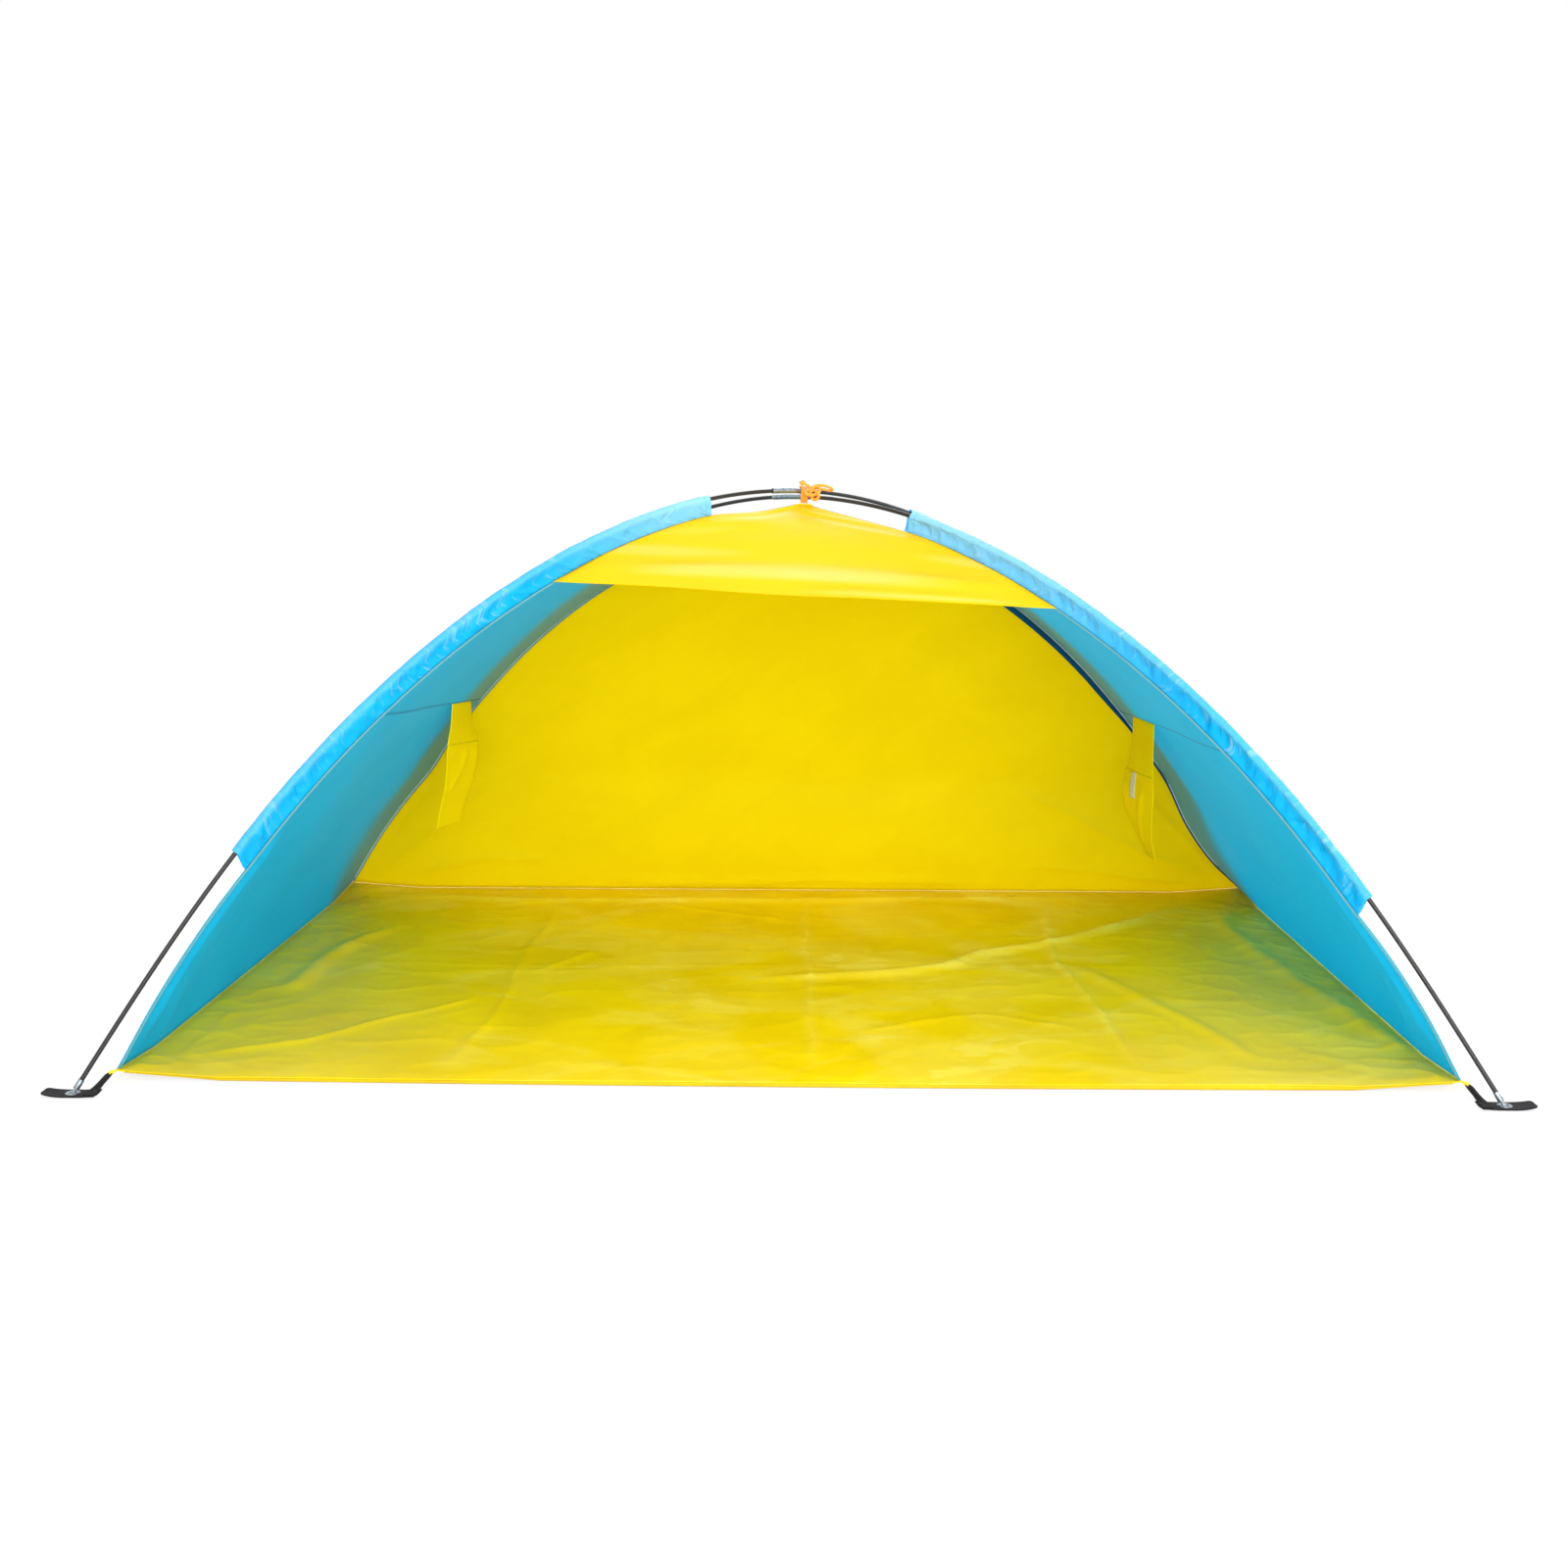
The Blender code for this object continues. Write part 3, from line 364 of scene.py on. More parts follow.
def ring_grid(line: Array, out: Array, across: Array, radii: Array, sides: int) -> Array:
    """Puts round rings on a line of points.

    Args:
        line: The middles of the rings.
        out: One direction square to the line at each point.
        across: The other direction square to it.
        radii: The radius of each ring.
        sides: How many points each ring has.

    Returns:
        Rows of rings.
    """
    turns = np.arange(sides) * 2 * np.pi / sides
    spokes = np.cos(turns)[None, :, None] * across[:, None, :] + np.sin(turns)[None, :, None] * out[:, None, :]
    return line[:, None, :] + spokes * np.asarray(radii).reshape(-1, 1, 1)


def turned(name: str, profile: list[Place], sides: int, ring: bool, material: Material,
           place: Matrix) -> Piece:
    """Makes a turned piece from a profile about Z.

    Args:
        name: The piece's name.
        profile: Radii and heights, from the top down the outer side.
        sides: How many steps the turn has.
        ring: Whether the profile closes on itself, as in an eyelet.
        material: Its finish.
        place: Where the piece's own frame lies.

    Returns:
        The object.
    """
    if ring:
        profile = profile + profile[:1]
    turns = np.arange(sides) * 2 * np.pi / sides
    points = np.array([[radius * math.cos(turn), radius * math.sin(turn), height]
                       for radius, height in profile for turn in turns])
    faces = []
    for row in range(len(profile) - 1):
        for step in range(sides):
            after = (step + 1) % sides
            faces.append([row * sides + step, (row + 1) * sides + step,
                          (row + 1) * sides + after, row * sides + after])
    piece = place_mesh(name, points, faces, material)
    piece.data.transform(place)
    shape = bmesh.new()
    shape.from_mesh(piece.data)
    bmesh.ops.remove_doubles(shape, verts=shape.verts[:], dist=1e-6)
    bmesh.ops.dissolve_degenerate(shape, edges=shape.edges[:], dist=1e-7)
    bmesh.ops.recalc_face_normals(shape, faces=shape.faces[:])
    shape.to_mesh(piece.data)
    shape.free()
    piece.data.set_sharp_from_angle(angle=math.radians(40))
    return piece


def rounded(profile: list[Place], radius: float, closed: bool) -> list[Place]:
    """Rounds the corners of a profile.

    Args:
        profile: Its corners.
        radius: How far from a corner the rounding starts, at most.
        closed: Whether the last corner joins the first.

    Returns:
        The profile with three points in place of each corner.
    """
    corners = [np.array(corner, float) for corner in profile]
    made: list[Place] = []
    for index, corner in enumerate(corners):
        if not closed and index in (0, len(corners) - 1):
            made.append(tuple(corner))
            continue
        before, after = corners[index - 1] - corner, corners[(index + 1) % len(corners)] - corner
        start = corner + before * min(0.45, radius / np.linalg.norm(before))
        end = corner + after * min(0.45, radius / np.linalg.norm(after))
        made += [tuple(start), tuple((start + end + 2 * corner) / 4), tuple(end)]
    return made


def cord_curve(name: str, points: Array, radius: float, material: Material,
               closed: bool = False) -> Piece:
    """Makes a round cord through points.

    Args:
        name: The piece's name.
        points: Its route.
        radius: Its radius.
        material: Its finish.
        closed: Whether it is an endless loop.

    Returns:
        The curve object.
    """
    curve = bpy.data.curves.new(name, "CURVE")
    curve.dimensions = "3D"
    curve.bevel_depth = radius
    curve.bevel_resolution = 4
    curve.use_fill_caps = not closed
    spline = curve.splines.new("POLY")
    spline.points.add(len(points) - 1)
    spline.points.foreach_set("co", np.column_stack((points, np.ones(len(points)))).ravel())
    spline.use_cyclic_u = closed
    spline.use_smooth = True
    curve.materials.append(material)
    return linked(name, curve)


def settle(piece: Piece, slot: str, *nodes: str, body: str = TENT_BODY) -> Piece:
    """Hangs a piece on its body and hides the solids that it stands for.

    Args:
        piece: The piece.
        slot: The record's material slot; not used.
        nodes: The nodes that it stands for.
        body: The body that it rides on.

    Returns:
        The piece.
    """
    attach(piece, body)
    if nodes:
        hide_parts(*nodes)
    return piece


# Finishes


class Signal:
    """A node socket that is used as a number, so that shader sums read as sums."""

    def __init__(self, bench: "Bench", socket: bpy.types.NodeSocket) -> None:
        """Keeps a socket and the bench that made it."""
        self.bench = bench
        self.socket = socket

    def _sum(self, operation: str, first: "Signal | float", second: "Signal | float" = 0.0) -> "Signal":
        """Returns what a Math node makes of two values."""
        return self.bench.node("ShaderNodeMath", {"operation": operation}, {0: first, 1: second})

    def __add__(self, other: "Signal | float") -> "Signal":
        """Returns this and another value together."""
        return self._sum("ADD", self, other)

    __radd__ = __add__

    def __sub__(self, other: "Signal | float") -> "Signal":
        """Returns this without another value."""
        return self._sum("SUBTRACT", self, other)

    def __rsub__(self, other: float) -> "Signal":
        """Returns another value without this."""
        return self._sum("SUBTRACT", other, self)

    def __mul__(self, other: "Signal | float") -> "Signal":
        """Returns this times another value."""
        return self._sum("MULTIPLY", self, other)

    __rmul__ = __mul__

    def __truediv__(self, other: "Signal | float") -> "Signal":
        """Returns this over another value."""
        return self._sum("DIVIDE", self, other)

    def __abs__(self) -> "Signal":
        """Returns this without its sign."""
        return self._sum("ABSOLUTE", self)

    def __pow__(self, power: float) -> "Signal":
        """Returns this to a power."""
        return self._sum("POWER", self, power)

    def below(self, limit: float) -> "Signal":
        """Returns 1 where this is below a limit and 0 elsewhere."""
        return self._sum("LESS_THAN", self, limit)

    def wave(self) -> "Signal":
        """Returns the sine of this."""
        return self._sum("SINE", self)

    def fraction(self) -> "Signal":
        """Returns this without its whole part."""
        return self._sum("FRACT", self)

    def between(self, low: float, high: float) -> "Signal":
        """Returns a smooth step from 0 at one value to 1 at the other."""
        settings = {"interpolation_type": "SMOOTHSTEP"}
        return self.bench.node("ShaderNodeMapRange", settings, {0: self, 1: low, 2: high})


class Bench:
    """Builds the nodes of one material or of the surroundings."""

    def __init__(self, owner: Material | bpy.types.World) -> None:
        """Empties what the nodes are for.

        Args:
            owner: The material or the surroundings.
        """
        self.owner = owner
        owner.use_nodes = True
        self.tree = owner.node_tree
        self.tree.nodes.clear()

    @classmethod
    def material(cls, name: str) -> "Bench":
        """Returns a bench for a new material."""
        return cls(bpy.data.materials.new(name))

    def node(self, kind: str, settings: dict | None = None, inputs: dict | None = None,
             output: int | str = 0) -> Signal:
        """Adds a node.

        Args:
            kind: The node's type.
            settings: Its own settings, set before its sockets.
            inputs: Values or links of its sockets, by name or number.
            output: The socket to return.

        Returns:
            The chosen output.
        """
        made = self.tree.nodes.new(kind)
        for key, value in (settings or {}).items():
            setattr(made, key, value)
        for key, value in (inputs or {}).items():
            if isinstance(value, Signal):
                self.tree.links.new(value.socket, made.inputs[key])
            elif isinstance(value, tuple) and made.inputs[key].type == "RGBA":
                made.inputs[key].default_value = (*value, 1.0)
            else:
                made.inputs[key].default_value = value
        return Signal(self, made.outputs[output])

    def mix(self, mask: Signal | float, first: Signal | Colour, second: Signal | Colour) -> Signal:
        """Returns the first colour where the mask is 0 and the second where it is 1."""
        return self.node("ShaderNodeMix", {"data_type": "RGBA"}, {0: mask, 6: first, 7: second}, 2)

    def mark(self, name: str) -> Signal:
        """Returns a number that the mesh holds for each point."""
        return self.node("ShaderNodeAttribute", {"attribute_name": name}, output="Fac")

    def cloth_place(self) -> tuple[Signal, Signal, Signal]:
        """Returns the place on the cloth in metres: as a vector, along the rows and along the columns."""
        place = self.node("ShaderNodeUVMap", {"uv_map": "cloth"})
        across = self.node("ShaderNodeSeparateXYZ", inputs={0: place}, output="X")
        up = self.node("ShaderNodeSeparateXYZ", inputs={0: place}, output="Y")
        return place, across, up

    def stretched(self, vector: Signal, scales: Spot) -> Signal:
        """Returns a vector times three scales."""
        return self.node("ShaderNodeVectorMath", {"operation": "MULTIPLY"}, {0: vector, 1: scales})

    def noise(self, vector: Signal, scale: float, detail: float = 2.0, rough: float = 0.5,
              warp: float = 0.0) -> Signal:
        """Returns a noise of 0 to 1, with its scale in hills to the metre and its finer layers' strength."""
        inputs = {"Vector": vector, "Scale": scale, "Detail": detail, "Roughness": rough, "Distortion": warp}
        return self.node("ShaderNodeTexNoise", inputs=inputs)

    def bump(self, height: Signal, depth: float, strength: float = 1.0) -> Signal:
        """Returns the normal that heights of 0 to 1 bend, where 1 stands for a depth in metres."""
        return self.node("ShaderNodeBump", inputs={"Height": height, "Distance": depth, "Strength": strength})

    def finish(self, shader: Signal) -> Material | bpy.types.World:
        """Sends a shader to the output.

        Args:
            shader: The shader.

        Returns:
            The material or the surroundings.
        """
        kind = "World" if isinstance(self.owner, bpy.types.World) else "Material"
        out = self.tree.nodes.new(f"ShaderNodeOutput{kind}")
        self.tree.links.new(shader.socket, out.inputs["Surface"])
        return self.owner

    def solid(self, inputs: dict) -> Material:
        """Finishes the material with one plain shader that has these inputs."""
        return self.finish(self.node("ShaderNodeBsdfPrincipled", inputs=inputs))


@dataclass(frozen=True)
class ClothFinish:
    """Thin coated cloth that lets some light through, with stitches inside its edges.

    Attributes:
        name: The material's name.
        colour: The cloth's colour.
        deep: Its colour where the dye lies thicker.
        glow: The colour of light that comes through.
        glow_share: How much of the cloth's look is that light.
        rough: How dull its gloss is.
        crinkle: How deep its small crinkles are.
        crinkle_scale: How many there are to the metre.
        stitches: Distances of its stitch lines from the edge.
        seam: Half the width of a doubled seam along the cloth's own mark, or 0.
        seam_shade: The colour of that seam, darker as painted shade for the light its double layer holds back.
        gloss: How strong its gloss is.
        sheen: How strong its velvety edge light is.
        lap: How wide the painted shadow of the rear sleeve is, a strip along the cloth's own mark, or 0.
        sleeve_shadow_colour: The colour of that painted shadow.
        highlight: The colour of its painted highlight, mixed in along the cloth's own mark, or nothing.
    """

    name: str
    colour: Colour
    deep: Colour
    glow: Colour
    glow_share: float
    rough: float = 0.45
    crinkle: float = 0.0012
    crinkle_scale: float = 14.0
    stitches: tuple[float, ...] = (0.008,)
    seam: float = 0.0
    seam_shade: Colour = (0.0, 0.1, 0.2)
    gloss: float = 0.16
    sheen: float = 0.0
    lap: float = 0.0
    sleeve_shadow_colour: Colour = (0.1, 0.3, 0.3)
    faded: Colour | None = None
    stitch_half_width: float = 0.0007
    stitch_pitch: float = 0.004
    stitch_share: float = 0.7
    thread_pitch: float = 0.0011
    thread_depth: float = 0.00004
    sleeve_shadow_full: float = 0.45
    sleeve_shadow_tint: float = 0.75
    sleeve_shadow_dimming: float = 0.5
    seam_full: float = 0.75
    seam_tint: float = 0.85

    def stitch_mask(self, bench: Bench, across: Signal, up: Signal) -> Signal:
        """Returns 1 on the stitches and 0 elsewhere.

        Args:
            bench: The material's bench.
            across: Place along the rows.
            up: Place along the columns.

        Returns:
            The mask.
        """
        edge = bench.mark("edge")
        dash = ((across + up) / self.stitch_pitch).fraction().below(self.stitch_share)
        lines = abs(edge - self.stitches[0]).below(self.stitch_half_width)
        for inset in self.stitches[1:]:
            lines = lines + abs(edge - inset).below(self.stitch_half_width)
        return lines * dash

    def surface(self, bench: Bench, place: Signal, base: Signal) -> Signal:
        """Returns the cloth's colour with what lies on it, which is nothing on plain cloth."""
        return base

    def heights(self, bench: Bench, place: Signal, across: Signal, up: Signal) -> Signal:
        """Returns the cloth's small crinkles as heights.

        Args:
            bench: The material's bench.
            place: Place on the cloth.
            across: Place along the rows.
            up: Place along the columns.

        Returns:
            Heights of about 0 to 1.
        """
        soft = bench.noise(place, self.crinkle_scale, 4.0, 0.55, 0.6)
        ridge = 1 - abs(bench.noise(place, self.crinkle_scale * 1.7, 2.0, 0.5, 1.2) - 0.5) * 2
        return soft * 0.7 + ridge ** 6.0 * 0.3

    def build(self) -> Material:
        """Makes the material."""
        bench = Bench.material(self.name)
        place, across, up = bench.cloth_place()
        tone = bench.noise(place, 5.0, 3.0, 0.6, 0.4).between(0.3, 0.7)
        colour = bench.mix(tone, self.deep, self.colour)
        # Painted highlight: paler where light catches the cloth, by the cloth's own mark.
        if self.faded:
            colour = bench.mix(bench.mark("fade"), colour, self.faded)
        share = self.glow_share
        # Painted shadow of the rear sleeve: a greyer strip along the rear edge, which also lets less light
        # through.
        if self.lap:
            strip = 1 - bench.mark("lap").between(self.lap * self.sleeve_shadow_full, self.lap)
            colour = bench.mix(strip * self.sleeve_shadow_tint, colour, self.sleeve_shadow_colour)
            share = (1 - strip * self.sleeve_shadow_dimming) * self.glow_share
        # The seam is real doubled cloth; its darker colour is painted shade for the light that the double
        # layer holds back.
        if self.seam:
            doubled = 1 - abs(bench.mark("seam")).between(self.seam * self.seam_full, self.seam)
            colour = bench.mix(doubled * self.seam_tint, colour, self.seam_shade)
        stitches = self.stitch_mask(bench, across, up)
        colour = bench.mix(stitches * 0.5, self.surface(bench, place, colour), self.deep)
        turn = 2 * math.pi / self.thread_pitch
        threads = (across * turn).wave() * (up * turn).wave()
        weave = bench.bump(threads - stitches * 2, self.thread_depth, 0.6)
        crinkles = bench.node("ShaderNodeBump", inputs={"Height": self.heights(bench, place, across, up),
                                                        "Distance": self.crinkle, "Normal": weave})
        rough = self.rough + bench.noise(place, 30.0, 2.0) * 0.12
        face = bench.node("ShaderNodeBsdfPrincipled", inputs={
            "Base Color": colour, "Roughness": rough, "Normal": crinkles,
            "Specular IOR Level": self.gloss, "Sheen Weight": self.sheen, "Sheen Roughness": 0.4})
        through = bench.node("ShaderNodeBsdfTranslucent", inputs={"Color": self.glow})
        return bench.finish(bench.node("ShaderNodeMixShader", inputs={0: share, 1: face, 2: through}))


@dataclass(frozen=True)
class SleeveFinish(ClothFinish):
    """Cloth that is gathered along a pole, with short creases across it that catch the light."""

    def creases(self, bench: Bench, place: Signal) -> Signal:
        """Returns 1 along the tops of the creases and 0 between them."""
        drawn = bench.stretched(place, (0.25, 1.0, 1.0))
        return bench.noise(drawn, 90.0, 2.0, 0.6, 0.3).between(0.50, 0.66)

    def surface(self, bench: Bench, place: Signal, base: Signal) -> Signal:
        """Returns the cloth's colour, with painted highlights along its creases."""
        where = bench.noise(place, 14.0, 2.0).between(0.40, 0.62)
        return bench.mix(self.creases(bench, place) * where * 0.6, base, self.faded)

    def heights(self, bench: Bench, place: Signal, across: Signal, up: Signal) -> Signal:
        """Returns the heights of the creases over softer swells."""
        soft = bench.noise(bench.stretched(place, (0.4, 1.0, 1.0)), 24.0, 3.0, 0.5, 0.5)
        return soft * 0.6 + self.creases(bench, place) * 0.4


@dataclass(frozen=True)
class GroundFinish(ClothFinish):
    """Waterproof floor sheet: glossy and creased from folding, with painted reflections in paler patches and
    along its creases.

    Attributes:
        pale: The colour of the painted reflections.
    """

    pale: Colour = (0.8, 0.6, 0.1)

    def surface(self, bench: Bench, place: Signal, base: Signal) -> Signal:
        """Returns the sheet's colour with its painted reflections."""
        # Painted reflections: paler patches over the sheet where its gloss would catch the light.
        large = bench.noise(bench.stretched(place, (1.0, 1.6, 1.0)), 2.4, 3.0, 0.5, 1.4)
        sharp = bench.noise(bench.stretched(place, (1.0, 1.8, 1.0)), 4.2, 2.0, 0.4, 2.2).between(0.52, 0.55)
        gloss_patches = large.between(0.46, 0.56) * (0.45 + sharp * 0.55) * 0.35
        return bench.mix(gloss_patches + bench.mark("pale") * (0.40 + sharp * 0.5), base, self.pale)

    def heights(self, bench: Bench, place: Signal, across: Signal, up: Signal) -> Signal:
        """Returns the sheet's crumples: flat facets that meet in fine ridges."""
        bent = bench.node("ShaderNodeVectorMath", {"operation": "ADD"}, {0: place, 1: bench.stretched(
            bench.node("ShaderNodeTexNoise", inputs={"Vector": place, "Scale": 9.0}, output="Color"),
            (0.05, 0.05, 0.0))})
        facets = bench.node("ShaderNodeTexVoronoi", {"feature": "SMOOTH_F1"},
                            {"Vector": bent, "Scale": 6.0, "Smoothness": 0.15}, "Distance")
        soft = bench.noise(place, self.crinkle_scale, 3.0, 0.5, 0.8)
        return facets * 0.5 + soft * 0.5


@dataclass(frozen=True)
class WebbingFinish:
    """Black woven webbing with raised ribs across it and paler worn high points."""

    name: str = "webbing_black"
    colour: Colour = linear(20, 18, 21)
    worn: Colour = linear(38, 36, 40)
    rib_pitch: float = 0.0022

    def build(self) -> Material:
        """Makes the material."""
        bench = Bench.material(self.name)
        place, across, up = bench.cloth_place()
        turn = 2 * math.pi / self.rib_pitch
        ribs = (across * turn).wave() * (up * (turn * 0.5)).wave() * 0.5 + 0.5
        wear = bench.noise(place, 60.0, 4.0, 0.6)
        colour = bench.mix((ribs * wear).between(0.3, 0.75), self.colour, self.worn)
        normal = bench.bump(ribs + wear * 0.4, 0.0003, 0.8)
        return bench.solid({"Base Color": colour, "Roughness": 0.6 + wear * 0.3, "Normal": normal,
                            "Specular IOR Level": 0.2})


@dataclass(frozen=True)
class RodFinish:
    """Pultruded glass fibre: dark resin with fine streaks along the rod and dull scuffs."""

    name: str = "glass_fibre"
    colour: Colour = linear(26, 24, 25)
    streak: Colour = linear(52, 46, 42)

    def build(self) -> Material:
        """Makes the material."""
        bench = Bench.material(self.name)
        place, _, _ = bench.cloth_place()
        streaks = bench.noise(bench.stretched(place, (2600.0, 9.0, 1.0)), 1.0, 3.0, 0.6)
        scuffs = bench.noise(place, 45.0, 5.0, 0.65).between(0.55, 0.75)
        colour = bench.mix(streaks.between(0.45, 0.8), self.colour, self.streak)
        normal = bench.bump(streaks, 0.00006, 0.7)
        return bench.solid({"Base Color": colour, "Roughness": 0.38 + scuffs * 0.3, "Normal": normal,
                            "Specular IOR Level": 0.3, "Coat Weight": 0.2 - scuffs * 0.15,
                            "Coat Roughness": 0.2})


@dataclass(frozen=True)
class SteelFinish:
    """Plated steel tube, drawn along its length, with small dull marks."""

    name: str = "plated_steel"
    colour: Colour = linear(150, 158, 164)
    dull: Colour = linear(92, 102, 110)

    def build(self) -> Material:
        """Makes the material."""
        bench = Bench.material(self.name)
        place = bench.node("ShaderNodeTexCoord", output="Object")
        grain = bench.noise(bench.stretched(place, (300.0, 300.0, 900.0)), 1.0, 3.0, 0.6)
        marks = bench.noise(place, 160.0, 4.0, 0.6).between(0.5, 0.72)
        colour = bench.mix(marks, self.colour, self.dull)
        rough = 0.22 + grain * 0.2 + marks * 0.15
        return bench.solid({"Base Color": colour, "Metallic": 0.9, "Roughness": rough,
                            "Normal": bench.bump(grain, 0.00003, 0.5)})


@dataclass(frozen=True)
class CordFinish:
    """Braided cord: crossing strands, with painted shade in the gaps between them."""

    name: str
    colour: Colour
    # The colour of the painted shade in the gaps.
    gap: Colour
    strand: float = 0.0016

    def build(self) -> Material:
        """Makes the material."""
        bench = Bench.material(self.name)
        place = bench.node("ShaderNodeTexCoord", output="Object")
        steep = [bench.node("ShaderNodeTexWave", {"wave_type": "BANDS", "bands_direction": "DIAGONAL"},
                            {"Vector": bench.stretched(place, scales), "Scale": 0.35 / self.strand,
                             "Distortion": 1.5, "Detail": 1.0}, 1)
                 for scales in ((1.0, 1.0, 1.0), (-1.0, 1.0, -1.0))]
        strands = steep[0] * steep[1]
        # Painted shade in the gaps between the strands.
        colour = bench.mix(strands.between(0.05, 0.5), self.gap, self.colour)
        return bench.solid({"Base Color": colour, "Roughness": 0.5 + strands * 0.2, "Sheen Weight": 0.4,
                            "Normal": bench.bump(strands, 0.0004, 0.8)})


@dataclass(frozen=True)
class HookFinish:
    """White hook tape: rows of tiny hooks on a woven ground."""

    name: str = "hook_tape"
    colour: Colour = linear(250, 248, 240)
    shade: Colour = linear(222, 218, 202)
    pitch: float = 0.0016

    def build(self) -> Material:
        """Makes the material."""
        bench = Bench.material(self.name)
        place, across, up = bench.cloth_place()
        turn = 2 * math.pi / self.pitch
        hooks = ((across * turn).wave() * (up * turn).wave()).between(0.0, 0.8)
        dust = bench.noise(place, 120.0, 3.0)
        colour = bench.mix(hooks * 0.7 + dust * 0.2, self.shade, self.colour)
        return bench.solid({"Base Color": colour, "Roughness": 0.75 + dust * 0.1,
                            "Normal": bench.bump(hooks, 0.0005, 0.8)})


class Finishes:
    """All the finishes of the tent, made once each."""

    def __init__(self) -> None:
        """Makes every material."""
        sun = (linear(255, 238, 0), linear(252, 230, 0), linear(255, 238, 0))
        self.wall = ClothFinish("wall_cloth", linear(238, 222, 0), linear(232, 214, 0), linear(236, 220, 0),
                                0.50, rough=0.50).build()
        # The roof's pale colour is a painted highlight, in streaks over its ripples.
        self.roof = ClothFinish("roof_cloth", linear(252, 219, 0), linear(250, 214, 0), linear(250, 222, 0),
                                0.42, rough=0.36, crinkle=0.0006, crinkle_scale=5.0, gloss=0.22,
                                faded=linear(255, 228, 146)).build()
        # The ground sheet's pale colour is painted reflection on its gloss.
        self.ground = GroundFinish("ground_sheet", linear(252, 218, 0), linear(240, 204, 0),
                                   linear(250, 220, 0), 0.04, rough=0.34, crinkle=0.0022, crinkle_scale=4.0,
                                   stitches=(0.012, 0.018), gloss=0.20, pale=linear(252, 230, 84)).build()
        # The side cloth's greyer strip along its rear edge is painted shadow of the rear sleeve.
        self.side = ClothFinish("side_cloth", linear(30, 194, 230), linear(16, 184, 222), linear(0, 214, 246),
                                0.50, rough=0.42, crinkle=0.0006, seam=0.0035, seam_shade=linear(0, 84, 110),
                                lap=0.24, sleeve_shadow_colour=linear(120, 158, 150)).build()
        # The sleeve's pale colour is a painted highlight, laid on its top, its outer fold and its creases.
        self.sleeve = SleeveFinish("sleeve_cloth", linear(0, 194, 240), linear(0, 184, 236),
                                   linear(0, 212, 250), 0.42, rough=0.34, crinkle=0.0026,
                                   stitches=(0.010,), gloss=0.25, faded=linear(168, 228, 246)).build()
        # The hem's darker yellow is painted shade under the front edge of the floor.
        self.hem = ClothFinish("hem_cloth", linear(214, 184, 8), linear(200, 168, 4), linear(220, 190, 0),
                               0.04, rough=0.45, stitches=(0.003,)).build()
        self.flap = ClothFinish("flap_cloth", *sun, 0.08, rough=0.5,
                                crinkle=0.0006, crinkle_scale=40.0, stitches=(0.003, 0.009)).build()
        self.trim = ClothFinish("trim_cloth", *sun, 0.15, rough=0.5,
                                crinkle=0.0006, crinkle_scale=40.0, stitches=(0.003,)).build()
        # The dark blue strip is painted shadow of the rear-right pole and sleeve, seen through the cloth.
        self.tape = ClothFinish("hip_shadow_strip", linear(14, 92, 140), linear(10, 78, 124), linear(20, 120, 170),
                                0.08, rough=0.6, crinkle=0.0004, crinkle_scale=80.0, stitches=(0.002,)).build()
        self.webbing = WebbingFinish().build()
        self.rod = RodFinish().build()
        self.steel = SteelFinish().build()
        self.tie = CordFinish("tie_braid", linear(255, 178, 0), linear(246, 140, 0)).build()
        self.elastic = CordFinish("elastic_braid", linear(222, 222, 216), linear(150, 150, 146),
                                  strand=0.0008).build()
        self.hooks = HookFinish().build()


# The tent's lines


@dataclass(frozen=True)
class Sewing:
    """How the cloth is sewn at one corner, which differs a little from one to the next.

    Attributes:
        end: Where the sleeve ends, as a share of the pole's length, before the cloth's drop.
        drop: How much lower the cloth sits along the pole.
        crest_depth: How far the hip lies inside its pole at the crossing.
        bow: How far the free edge below the sleeve bows out.
        highlight_start: Where the sleeve's painted highlight starts, as a share of its length.
    """

    end: float = 0.428
    drop: float = 0.0
    crest_depth: float = 0.034
    bow: float = 0.010
    highlight_start: float = 0.62


SEWN = {
    Corner.FRONT_LEFT: Sewing(end=0.4455),
    Corner.FRONT_RIGHT: Sewing(end=0.4406, drop=0.065, crest_depth=0.020, highlight_start=0.35),
    Corner.REAR_LEFT: Sewing(),
    Corner.REAR_RIGHT: Sewing(drop=0.040, bow=-0.022),
}


